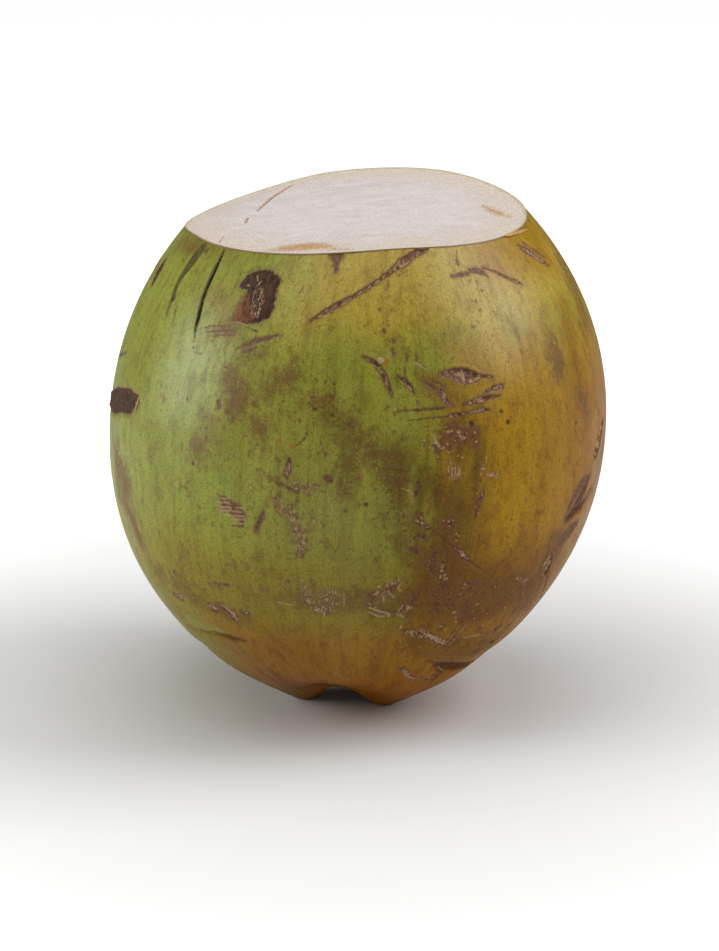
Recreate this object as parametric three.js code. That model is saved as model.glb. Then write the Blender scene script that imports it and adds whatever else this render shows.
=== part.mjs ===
// A green drinking coconut, standing on its stem end, with its crown sliced off.
// One grown piece: a plump husk with three faint ridges, which end below in three toes
// round the pit that the stem left. Millimetres, +Z up, -Y is the front.
// The origin is on the surface that it stands on, under the middle of its widest level.
import * as THREE from "three";

// The husk's long outline: a pointed oval, with its own reach and bluntness above and below.
const HALF_WIDTH = 82.5;
const WIDEST_Z = 94;
const BASE_REACH = 101.9; // from the widest level down to the tip that the pit and toes replace
const CROWN_REACH = 101.9; // from the widest level up to the tip that the slice removes
const BASE_POINT = 1.64; // how sharply the outline narrows near each tip; 1 is round
const CROWN_POINT = 1.3;
const BASE_BLUNT = 0.89; // how soon it turns in from the widest level; 1 is round
const CROWN_BLUNT = 0.98;
const LEAN = 0.026; // sideways, per millimetre of height

// The three carpels: ridges on the flanks, toes below, and notches between the toes.
const NOTCH_AZIMUTH = THREE.MathUtils.degToRad(-12); // from the front, positive to the right
const GIRTH_LOBES = -0.009; // share of the radius, at the widest level
const BASE_LOBES = 0.101; // the same at the stem end
const PIT_DEPTH = 14.5;
const PIT_RADIUS = 12;
const NOTCH_DEPTH = 7.2;
const NOTCH_RADIUS = 20.2;
const NOTCH_SPREAD = 15.2;
const NOTCH_FADE = 5; // the notches die out within this distance of the pit's middle

// The collar: three broad sepals covered the husk up to these arcs, and left it drawn in.
const COLLAR_Z = 25; // the arcs' ends, on the ridges
const COLLAR_ARCH = 12; // and how much higher their middles are, over the notches
const COLLAR_STEP = 1.3; // how deep the husk is drawn in at the ridges
const COLLAR_SOFTNESS = 1.2;

// Below the collar each ridge is pinched into a crest.
const CREST_HEIGHT = 1.6;
const CREST_WIDTH = THREE.MathUtils.degToRad(13);
const CREST_Z = 15;
const CREST_SPREAD = 9;

// The slice: one broad cut that rises to the right and the back, and two shallower strokes
// that take off its left and right ends.
const SLICE_Z = 168; // on the origin's axis
const SLICE_RISE_RIGHT = 0.092;
const SLICE_RISE_BACK = 0.0875;
const STROKES = [
  { azimuth: THREE.MathUtils.degToRad(-123), start: 35.9, fall: 0.211, roll: 5.5 }, // left and back
  { azimuth: THREE.MathUtils.degToRad(78.5), start: 23.3, fall: 0.216, roll: 11.4 }, // right
];
const SLICE_CENTRE = new THREE.Vector2(1, -4);

// The mesh: columns round the fruit, and rings from the pit to the rim and in over the slice.
const COLUMNS = 72;
const FLANK_RINGS = 46;
const SLICE_RINGS = 9;

const HUSK_GREEN = 0x8c8f45;

// A ramp that is 0 before its start and rises 1 for 1 after it, rounded over `roll`.
function softRamp(distance, roll) {
  return (distance + Math.sqrt(distance * distance + roll * roll)) / 2;
}

// How far a place is inside a notch's sector: 1 in a notch's middle, 0 over a ridge.
function notchShare(azimuth) {
  return 0.5 + 0.5 * Math.cos(3 * (azimuth - NOTCH_AZIMUTH));
}

// Height of the sliced face above a place.
function sliceHeight(x, y) {
  let z = SLICE_Z + SLICE_RISE_RIGHT * x + SLICE_RISE_BACK * y;
  for (const { azimuth, start, fall, roll } of STROKES) {
    const outward = x * Math.sin(azimuth) - y * Math.cos(azimuth);
    z -= fall * softRamp(outward - start, roll);
  }
  return z;
}

// How far the sepals drew the husk in at this height: most at the ridges, and hardly in the middle.
function collarStep(z, azimuth) {
  const share = notchShare(azimuth);
  const edge = COLLAR_Z + COLLAR_ARCH * share;
  return (COLLAR_STEP * (1 - share)) / (1 + Math.exp((z - edge) / COLLAR_SOFTNESS));
}

// How far a ridge's crest stands out at this height.
function crestHeight(z, azimuth) {
  const fromRidge = Math.acos(-Math.cos(3 * (azimuth - NOTCH_AZIMUTH))) / 3;
  const along = (z - CREST_Z) / CREST_SPREAD;
  return CREST_HEIGHT * Math.exp(-((fromRidge / CREST_WIDTH) ** 2) - along ** 2);
}

// A place on the grown husk. The polar angle is 0 at the pit and a right angle at the widest level.
function huskPoint(polar, azimuth) {
  const below = polar < Math.PI / 2;
  const point = below ? BASE_POINT : CROWN_POINT;
  const blunt = below ? BASE_BLUNT : CROWN_BLUNT;
  const reach = below ? -BASE_REACH : CROWN_REACH;
  let z = WIDEST_Z + reach * Math.abs(Math.cos(polar)) ** blunt;

  const down = Math.max(0, (WIDEST_Z - z) / BASE_REACH);
  const lobes = GIRTH_LOBES + (BASE_LOBES - GIRTH_LOBES) * down ** 2;
  const ridge = Math.cos(3 * (azimuth - NOTCH_AZIMUTH));
  let radius = HALF_WIDTH * Math.sin(polar) ** point * (1 - lobes * ridge);

  if (below) {
    const fade = radius ** 2 / (radius ** 2 + NOTCH_FADE ** 2);
    const groove = fade * Math.exp(-(((radius - NOTCH_RADIUS) / NOTCH_SPREAD) ** 2));
    z += PIT_DEPTH * Math.exp(-((radius / PIT_RADIUS) ** 3));
    z += NOTCH_DEPTH * notchShare(azimuth) * groove;
    radius += fade * (crestHeight(z, azimuth) - collarStep(z, azimuth));
  }
  return new THREE.Vector3(
    radius * Math.sin(azimuth) + LEAN * (z - WIDEST_Z),
    -radius * Math.cos(azimuth),
    Math.max(0, z), // the toes are flat where they bear on the surface
  );
}

// The polar angle at which the slice meets the husk, by halving.
function rimPolar(azimuth) {
  let low = Math.PI / 2;
  let high = Math.PI;
  while (high - low > 1e-6) {
    const middle = (low + high) / 2;
    const place = huskPoint(middle, azimuth);
    if (place.z < sliceHeight(place.x, place.y)) low = middle;
    else high = middle;
  }
  return low;
}

// A closed lathe form with the rings that the husk needs. Its own outline doesn't matter,
// because every vertex then moves to its place on the flank or on the sliced face.
function coconutGeometry() {
  const rings = FLANK_RINGS + SLICE_RINGS;
  const outline = [];
  for (let ring = 0; ring <= rings; ring++) {
    outline.push(new THREE.Vector2(Math.sin((Math.PI * ring) / rings), ring));
  }
  const geometry = new THREE.LatheGeometry(outline, COLUMNS);
  const position = geometry.getAttribute("position");
  for (let column = 0; column <= COLUMNS; column++) {
    const azimuth = (2 * Math.PI * (column % COLUMNS)) / COLUMNS;
    const polar = rimPolar(azimuth);
    const rim = huskPoint(polar, azimuth);
    for (let ring = 0; ring <= rings; ring++) {
      let place;
      if (ring === 0) {
        place = huskPoint(0, 0);
      } else if (ring <= FLANK_RINGS) {
        place = huskPoint((polar * ring) / FLANK_RINGS, azimuth);
      } else {
        const inward = (ring - FLANK_RINGS) / SLICE_RINGS;
        const flat = new THREE.Vector2(rim.x, rim.y).lerp(SLICE_CENTRE, inward);
        place = new THREE.Vector3(flat.x, flat.y, sliceHeight(flat.x, flat.y));
      }
      position.setXYZ(column * (rings + 1) + ring, place.x, place.y, place.z);
    }
  }
  geometry.computeVertexNormals();
  return geometry;
}

const coconut = new THREE.Mesh(
  coconutGeometry(),
  new THREE.MeshStandardMaterial({ color: HUSK_GREEN, roughness: 0.5, metalness: 0 }),
);
coconut.name = "coconut";

const part = new THREE.Group();
part.add(coconut);

export default part;
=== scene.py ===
# %% [markdown]
# # A green drinking coconut
# The fruit stands on its stem end with its crown sliced off, ready for a straw. This script
# loads the solid model as a fixed frame, grows a finer husk with the same form round it, and
# gives it its waxy skin, its scars and the pale fibres of the slice. Lengths are in metres.

# %% Load the frame
import math
import random

import bmesh
import bpy
import numpy as np
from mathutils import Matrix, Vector, noise
from mathutils.bvhtree import BVHTree


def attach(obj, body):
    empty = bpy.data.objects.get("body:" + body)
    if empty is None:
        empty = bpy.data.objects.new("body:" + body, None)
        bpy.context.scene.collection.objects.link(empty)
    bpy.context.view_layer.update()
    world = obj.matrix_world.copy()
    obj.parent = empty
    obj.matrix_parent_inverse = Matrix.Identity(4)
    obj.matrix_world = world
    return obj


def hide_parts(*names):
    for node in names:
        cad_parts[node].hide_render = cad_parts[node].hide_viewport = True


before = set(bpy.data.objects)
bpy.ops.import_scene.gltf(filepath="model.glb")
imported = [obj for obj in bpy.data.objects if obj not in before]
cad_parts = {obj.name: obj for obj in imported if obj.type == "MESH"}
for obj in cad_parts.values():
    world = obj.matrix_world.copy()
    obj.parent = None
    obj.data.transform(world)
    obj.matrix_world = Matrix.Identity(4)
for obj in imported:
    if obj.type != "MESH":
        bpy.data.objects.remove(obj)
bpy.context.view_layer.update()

MM = 0.001

# %% [markdown]
# ## The camera
# The picture is 719 by 951 pixels. The eye is a little above the fruit and 0.9 m from it, so
# the lens is a short telephoto. The two shifts slide the picture without turning the camera.

# %% Camera
FRAME_WIDTH, FRAME_HEIGHT = 719, 951
EYE_DISTANCE = 0.9
EYE_ELEVATION = math.radians(15)
LOOK_AT = Vector((0, 0, 0.0816))
LOOK_AT_PIXEL = (356.6, 459.7)
PIXEL_SPAN = 0.333 * MM  # what one pixel spans at LOOK_AT
SENSOR = 36  # millimetres, along the picture's long side

TO_EYE = Vector((0, -math.cos(EYE_ELEVATION), math.sin(EYE_ELEVATION)))
PICTURE_RIGHT = Vector((1, 0, 0))
PICTURE_UP = Vector((0, math.sin(EYE_ELEVATION), math.cos(EYE_ELEVATION)))
EYE = LOOK_AT + EYE_DISTANCE * TO_EYE


def place_object(name, data):
    """A new object in the scene, with a camera's, a light's or a mesh's data."""
    made = bpy.data.objects.new(name, data)
    bpy.context.collection.objects.link(made)
    return made


camera_data = bpy.data.cameras.new("camera")
camera_data.sensor_width = SENSOR
camera_data.lens = SENSOR * EYE_DISTANCE / (PIXEL_SPAN * FRAME_HEIGHT)
camera_data.shift_x = (FRAME_WIDTH / 2 - LOOK_AT_PIXEL[0]) / FRAME_HEIGHT
camera_data.shift_y = (LOOK_AT_PIXEL[1] - FRAME_HEIGHT / 2) / FRAME_HEIGHT
camera = place_object("camera", camera_data)
camera.location = EYE
camera.rotation_euler = (-TO_EYE).to_track_quat("-Z", "Y").to_euler()
bpy.context.scene.camera = camera
print("lens", round(camera_data.lens, 1), "mm")

# %% [markdown]
# Later steps need to know where a pixel of the picture falls on the fruit, so one function
# gives the direction in which the eye sees it.

# %% The eye's rays
def pixel_ray(x, y):
    """The direction in which the eye sees a pixel."""
    across = (x - LOOK_AT_PIXEL[0]) * PIXEL_SPAN * PICTURE_RIGHT
    up = (LOOK_AT_PIXEL[1] - y) * PIXEL_SPAN * PICTURE_UP
    return (across + up - EYE_DISTANCE * TO_EYE).normalized()


# %% [markdown]
# ## The husk's form
# A coconut grows from three carpels. They leave three faint ridges on the flanks, and at the
# stem end three toes round the pit of the stem. The form is a pointed oval of revolution that
# these lobes bend, so each place on it follows from two angles: the polar angle from the pit,
# and the azimuth from the front. A machete has taken the crown off in one broad cut and two
# shallow strokes. These sizes are the solid model's own.

# %% The form as formulas
HALF_WIDTH = 82.5 * MM
WIDEST_Z = 94 * MM
BASE_REACH, CROWN_REACH = 101.9 * MM, 101.9 * MM
BASE_POINT, CROWN_POINT = 1.64, 1.3
BASE_BLUNT, CROWN_BLUNT = 0.89, 0.98
LEAN = 0.026

NOTCH_AZIMUTH = math.radians(-12)
GIRTH_LOBES, BASE_LOBES = -0.009, 0.101
PIT_DEPTH, PIT_RADIUS = 14.5 * MM, 12 * MM
NOTCH_DEPTH, NOTCH_RADIUS, NOTCH_SPREAD = 7.2 * MM, 20.2 * MM, 15.2 * MM
NOTCH_FADE = 5 * MM

COLLAR_Z, COLLAR_ARCH = 25 * MM, 12 * MM
COLLAR_STEP, COLLAR_SOFTNESS = 1.3 * MM, 0.7 * MM
CREST_HEIGHT, CREST_WIDTH = 1.6 * MM, math.radians(13)
CREST_Z, CREST_SPREAD = 15 * MM, 9 * MM

SLICE_Z = 168 * MM
SLICE_RISE_RIGHT, SLICE_RISE_BACK = 0.092, 0.0875
STROKES = [  # azimuth, start, fall and roll
    (math.radians(-123), 35.9 * MM, 0.211, 5.5 * MM),
    (math.radians(78.5), 23.3 * MM, 0.216, 11.4 * MM),
]
SLICE_CENTRE = np.array([1, -4]) * MM
HALVINGS = 24  # steps in the search for the rim, which is far finer than the mesh


def notch_share(azimuth):
    """1 in the middle of a notch's sector and 0 over a ridge."""
    return 0.5 + 0.5 * np.cos(3 * (azimuth - NOTCH_AZIMUTH))


def slice_height(x, y):
    """The height of the sliced face above a place."""
    z = SLICE_Z + SLICE_RISE_RIGHT * x + SLICE_RISE_BACK * y
    for azimuth, start, fall, roll in STROKES:
        beyond = x * math.sin(azimuth) - y * math.cos(azimuth) - start
        z = z - fall * (beyond + np.sqrt(beyond**2 + roll**2)) / 2
    return z


def collar_edge(azimuth):
    """How high the sepals of the stem reached."""
    return COLLAR_Z + COLLAR_ARCH * notch_share(azimuth)


def collar_step(z, azimuth):
    """How far the sepals drew the husk in: most over the ridges."""
    away = np.clip((z - collar_edge(azimuth)) / COLLAR_SOFTNESS, -40, 40)
    return COLLAR_STEP * (1 - notch_share(azimuth)) / (1 + np.exp(away))


def crest_height(z, azimuth):
    """How far the pinched crest of a ridge stands out, below the collar."""
    from_ridge = np.arccos(-np.cos(3 * (azimuth - NOTCH_AZIMUTH))) / 3
    along = (z - CREST_Z) / CREST_SPREAD
    return CREST_HEIGHT * np.exp(-((from_ridge / CREST_WIDTH) ** 2) - along**2)


def husk_places(polar, azimuth):
    """Places on the whole husk, before the slice. Polar is 0 at the pit."""
    below = polar < math.pi / 2
    point = np.where(below, BASE_POINT, CROWN_POINT)
    blunt = np.where(below, BASE_BLUNT, CROWN_BLUNT)
    reach = np.where(below, -BASE_REACH, CROWN_REACH)
    z = WIDEST_Z + reach * np.abs(np.cos(polar)) ** blunt

    down = np.clip((WIDEST_Z - z) / BASE_REACH, 0, None)
    lobes = GIRTH_LOBES + (BASE_LOBES - GIRTH_LOBES) * down**2
    radius = HALF_WIDTH * np.sin(polar) ** point
    radius = radius * (1 - lobes * np.cos(3 * (azimuth - NOTCH_AZIMUTH)))

    fade = radius**2 / (radius**2 + NOTCH_FADE**2)
    groove = fade * np.exp(-(((radius - NOTCH_RADIUS) / NOTCH_SPREAD) ** 2))
    lifted = z + PIT_DEPTH * np.exp(-((radius / PIT_RADIUS) ** 3))
    lifted = lifted + NOTCH_DEPTH * notch_share(azimuth) * groove
    drawn = radius + fade * (crest_height(lifted, azimuth) - collar_step(lifted, azimuth))
    z, radius = np.where(below, lifted, z), np.where(below, drawn, radius)
    x = radius * np.sin(azimuth) + LEAN * (z - WIDEST_Z)
    return np.stack([x, -radius * np.cos(azimuth), np.clip(z, 0, None)], axis=1)


def rim_polar(azimuth):
    """The polar angle at which the slice meets the husk, by halving."""
    low = np.full(len(azimuth), math.pi / 2)
    high = np.full(len(azimuth), math.pi)
    for _ in range(HALVINGS):
        middle = (low + high) / 2
        place = husk_places(middle, azimuth)
        under = place[:, 2] < slice_height(place[:, 0], place[:, 1])
        low, high = np.where(under, middle, low), np.where(under, high, middle)
    return low


# %% [markdown]
# ## From a globe to a husk
# Blender makes a globe with meridians and rings, closed at both poles. Each of its vertices
# then moves to the husk: the rings below FLANK_SHARE spread over the flank, from the pit to
# the rim, and the others close the slice. Where a scar needs finer relief the globe is
# subdivided before the move, so the new vertices land on the true form and not on a chord.

# %% The globe and where its vertices go
COLUMNS, RINGS, FLANK_RINGS = 240, 184, 142
FLANK_SHARE = FLANK_RINGS / RINGS
RIM_CROWDING = 1.5  # the slice's rings crowd towards the rim by this power
HAIR = 1e-4  # a share this small is rounding, so the rim's own vertices count as flank

globe = bmesh.new()
bmesh.ops.create_uvsphere(globe, u_segments=COLUMNS, v_segments=RINGS, radius=1)


def globe_angles():
    """Each vertex's share of the way from the lower pole to the upper one, and its azimuth."""
    spots = np.array([vert.co for vert in globe.verts])
    share = np.arccos(np.clip(-spots[:, 2], -1, 1)) / math.pi
    return share, np.arctan2(spots[:, 0], -spots[:, 1])


def grown_places(share, azimuth):
    """The places of the globe's vertices on the cut husk, and how far each is from the rim:
    positive down the flank and negative in over the slice."""
    polar = rim_polar(azimuth)
    rim = husk_places(polar, azimuth)
    on_flank = share < FLANK_SHARE + HAIR
    flank = husk_places(polar * np.clip(share / FLANK_SHARE, 0, 1), azimuth)
    inward = np.clip((share - FLANK_SHARE) / (1 - FLANK_SHARE), 0, 1) ** RIM_CROWDING
    flat = rim[:, :2] * (1 - inward[:, None]) + SLICE_CENTRE * inward[:, None]
    face = np.column_stack([flat, slice_height(flat[:, 0], flat[:, 1])])
    places = np.where(on_flank[:, None], flank, face)
    from_rim = np.linalg.norm(places - rim, axis=1) * np.where(on_flank, 1, -1)
    return places, from_rim


places, from_rim = grown_places(*globe_angles())
rim_heights = places[abs(from_rim) < 0.001 * MM, 2] / MM
print("globe:", len(globe.verts), "vertices; rim from", round(rim_heights.min(), 1), "to",
      round(rim_heights.max(), 1), "mm high")

# %% [markdown]
# ## Where the marks are
# A coconut falls, rubs against its neighbours and is cut with a machete, and each of those
# leaves its own mark. Every mark here is a stroke: a path with a half-width at each point, or
# one point for a round spot. A point is x and y in pixels of the picture and a half-width in
# millimetres, and a ray from the eye carries it on to the husk. The marks then belong to the
# skin, from any side.

# %% Rays from pixels to the husk
plain_husk = BVHTree.FromPolygons(
    [Vector(place) for place in places],
    [[vert.index for vert in face.verts] for face in globe.faces],
)


def on_husk(x, y):
    """The place on the husk that a pixel shows, or the one nearest to its ray."""
    ray = pixel_ray(x, y)
    hit = plain_husk.ray_cast(EYE, ray)[0]
    return np.array(hit if hit else plain_husk.find_nearest(EYE + EYE_DISTANCE * ray)[0])


def pinned(path):
    """A pixel path as places on the husk with half-widths in metres."""
    return [(on_husk(x, y), half_width * MM) for x, y, half_width in path]


def on_side(azimuth, height):
    """The place on the husk at an azimuth in degrees and a height in millimetres."""
    axis = Vector((LEAN * (height * MM - WIDEST_Z), 0, height * MM))
    outward = Vector((math.sin(math.radians(azimuth)), -math.cos(math.radians(azimuth)), 0))
    return np.array(plain_husk.ray_cast(axis, outward)[0])


# %% [markdown]
# ### Cuts, cracks and scabs
# A gouge goes through the skin. Its edges dry to dark brown and its bed to pale cork. A crack
# is a narrow black split, and a scab is a rough brown plate where the skin has died.

# %% Gouges, cracks and scabs
GOUGES = [
    # the long slash up to the rim
    [(307, 322, 0.15), (318, 316, 0.6), (331, 308.5, 0.95), (342, 302.5, 0.9), (354, 295.5, 0.55),
     (367, 287.5, 0.5), (380, 279.5, 0.55), (392, 270.5, 0.85), (402, 262.5, 1.4), (411, 256, 1.3),
     (420, 250.5, 1.5), (425, 248, 1.2)],
    # the eye-shaped one
    [(438, 374.7, 0.2), (447, 373.5, 1.2), (456, 374.5, 2.2), (466, 376, 2.6), (474, 376.5, 1.8),
     (479, 376.5, 0.8), (493, 376.4, 0.25)],
    # a hook and a tick to its left
    [(362, 355, 0.15), (369, 359.5, 0.6), (377, 363.5, 0.8), (382, 371, 0.7), (385.5, 379, 1),
     (388, 384, 0.8), (392, 396.5, 0.15)],
    [(398, 375.5, 0.2), (404.5, 380.5, 0.7), (409.5, 386, 0.8), (415.4, 393.6, 0.15)],
    # two bars below it
    [(462, 405.6, 0.15), (470, 403, 0.6), (480, 400, 0.95), (490, 397.3, 0.75),
     (501.5, 394.8, 0.2)],
    [(447.5, 416.8, 0.2), (453, 415.7, 0.8), (459, 414.8, 0.75), (464, 413.8, 0.3),
     (475, 411.5, 0.5), (484, 410, 0.75), (491, 409, 0.2)],
    # on the right edge, and low on the right
    [(604, 420, 0.8), (601, 436, 2.2), (597.5, 450, 2.4), (595, 458, 1)],
    [(550.5, 557, 1.4), (548.5, 564, 2.6), (546, 573, 2)],
]
CRACKS = [
    [(223.6, 249, 0.3), (218.5, 261, 0.5), (214, 270, 0.6), (209.5, 280, 0.7), (205, 290, 0.62),
     (201.5, 300, 0.55), (198.5, 312, 0.7), (197, 319, 0.65), (195, 326, 0.3), (193.5, 338, 0.1)],
]
SCABS = [
    # the large one has a broad top, a narrower waist and a foot drawn out to the left
    [(244, 284, 1.9), (250, 279.5, 2.6), (258, 277, 2.7), (266, 277, 2.8), (273, 280.5, 2.3)],
    [(262, 287, 5.4), (260, 296, 5.6), (256, 305, 5.8)],
    [(264, 312, 2.3), (254, 313.5, 3.2), (244, 316, 2.2), (238, 317, 1.2)],
    # one on the left edge, and two on the left shoulder
    [(110, 398, 2.6), (114, 401, 4.3), (121, 400, 4), (128, 402, 4.1), (134.5, 402, 2.4)],
    [(119, 394, 1.8), (127, 395.5, 1.8)], [(112, 408, 1.6), (116, 409.5, 1.2)],
    [(163, 261, 1.2), (158, 270, 1.9), (152, 281, 1.3)], [(150.5, 284, 0.6)],
]
print(len(GOUGES), "gouges,", len(CRACKS), "crack and", len(SCABS), "strokes of scabs")

# %% [markdown]
# A scar is a healed cut, with a brown border and knots of pale cork. A flake is shallower: the
# skin there is dead and brown, but whole.

# %% Scars and flakes
SCARS = [
    # the star under the eye-shaped gouge, and a bar beside it
    [(442, 384, 0.2), (442.5, 391, 0.7), (444, 398, 1), (448, 403.5, 0.5)],
    [(438, 393, 0.3), (442, 396, 0.8)], [(445, 401, 0.6), (450, 403, 0.4), (455.5, 407, 0.15)],
    [(424, 381.5, 0.1), (430, 385, 0.3), (436, 389.5, 0.15)],
    [(484, 392.5, 0.3), (492, 389.3, 0.5), (498, 387, 0.7), (502, 386, 0.8)],
    # a column of knots
    [(392.9, 341, 0.55)], [(393.2, 348, 0.45)], [(394.4, 353.5, 0.55)],
    # on the shoulder and at the rim
    [(484, 267.5, 0.15), (497, 271.5, 0.3), (506, 276.5, 0.5), (515, 280.5, 0.7),
     (524, 284, 0.25)], [(519, 244.5, 0.4), (529, 251, 1), (539, 258, 1.1), (549, 265, 0.4)],
    # low on the left, in clusters
    [(211, 606, 1.2), (214.5, 610, 1.3)],
    [(222, 606, 1.1), (227, 610, 1.5), (232, 614, 1.3), (236, 620, 1.3)],
    [(243, 613, 0.9), (247, 613.5, 0.7)], [(174, 594.5, 1), (180, 597.5, 1.4)], [(175, 574, 1.1)],
    # in the middle, and a long diagonal with a knot at each end
    [(290, 458, 0.5), (288, 466, 0.9), (286.5, 473, 1.1), (286.5, 478, 0.5)],
    [(416, 521, 0.6), (424, 525, 0.8), (430, 529, 0.4)],
    [(454, 548, 0.4), (459, 551.5, 0.9), (465, 556.5, 1.05), (470, 561.5, 0.4)],
    [(443.5, 563, 0.4), (444.5, 572, 0.5), (441, 580, 0.6)],
    [(402, 669, 0.6), (406, 673, 0.7), (410, 677.5, 0.5), (421, 679, 0.35), (431, 680.5, 0.6)],
    [(409, 634, 0.5), (417, 635, 0.7)],
    [(421, 633, 0.6), (430, 637, 1.1), (439, 642, 1.2), (446, 646.5, 0.5)],
    [(398, 612, 0.5), (404, 608, 0.8), (409, 606, 0.4)], [(452, 641, 0.5), (458, 634, 0.3)],
]
FLAKES = [
    [(236, 348.5, 0.2), (244, 344.8, 0.7), (254, 340.8, 1), (266, 338, 0.7), (280, 334.3, 0.12)],
    [(242, 352.5, 0.2), (251, 349.8, 0.5), (258, 346.4, 0.2)], [(333, 255, 1.3), (340, 255, 1.3)],
    [(336.5, 258, 1.6), (336, 265, 0.9), (335.7, 272, 0.2)],
    [(452, 276, 0.5), (461, 274.5, 0.8), (469, 273, 0.8)],
    [(470, 270.5, 0.8), (477, 270, 1.25), (484, 272, 0.8), (488, 276, 0.3)],
    [(590, 477, 1.4), (584, 487, 3.6), (579, 498, 4.6), (574, 508, 4), (568, 518, 2.2)],
    [(578, 523, 1.2), (571, 531, 2.6), (564, 539, 2.4), (559, 544, 1)],
    [(264, 511, 0.4), (261, 519, 0.9), (256, 529, 0.8), (253.5, 533, 0.3)],
    [(484, 493, 0.4), (480, 501, 0.9), (477, 511, 0.8), (476, 517, 0.3)],
    [(272, 481, 0.1), (284, 486, 0.6), (294, 491, 0.3)],
    [(219, 497, 0.3), (224, 502, 1.5), (232, 509, 2.1), (240, 515, 1.8), (241, 523, 1)],
    [(524, 242, 0.2), (536, 250, 0.5), (546, 258, 0.3)],
    [(521, 248, 0.2), (533, 255, 0.6), (544, 263, 0.3)],
    [(424, 382, 0.3), (431, 386, 0.7), (437, 390, 0.4)], [(429, 379, 0.2), (438, 383, 0.4)],
    [(395, 412, 0.1), (420, 410, 0.3), (443, 408, 0.4)], [(326.5, 477.5, 0.9), (329.5, 480.5, 1)],
    [(468, 583, 0.4), (475, 584, 0.7), (483, 585, 0.3)],
    [(418, 482, 0.5), (417, 490, 0.9), (415, 498, 0.4)], [(448, 521, 0.7), (453, 525, 0.8)],
    [(420, 535, 0.7), (425, 540, 0.8)], [(209, 584, 0.2), (219, 584.5, 0.4), (228, 586, 0.7)],
    [(218, 401, 0.7), (218.6, 407, 0.8)], [(206, 249, 1)], [(406.8, 354, 0.25), (406.6, 361, 0.3)],
    [(417, 352, 0.2), (416.3, 361.5, 0.3)], [(457.5, 260, 0.3), (458.5, 264, 0.45)],
    [(405, 367, 0.1), (404.7, 377, 0.15)], [(436, 551, 0.8), (434, 563, 1), (431, 575, 0.7)],
    [(411, 549, 0.5), (417, 552, 0.8)], [(587, 397, 0.2), (584, 414, 0.3)],
]

print(len(SCARS), "strokes of scars and", len(FLAKES), "of flakes")

# %% [markdown]
# ### Shallow marks
# These lie in the wax or just under it. Sap that ran under the skin has dried to dark green
# stains, and where the fruit lay on others it is bruised brown. A bruise has a soft border,
# so its strokes are wide and few.

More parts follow.
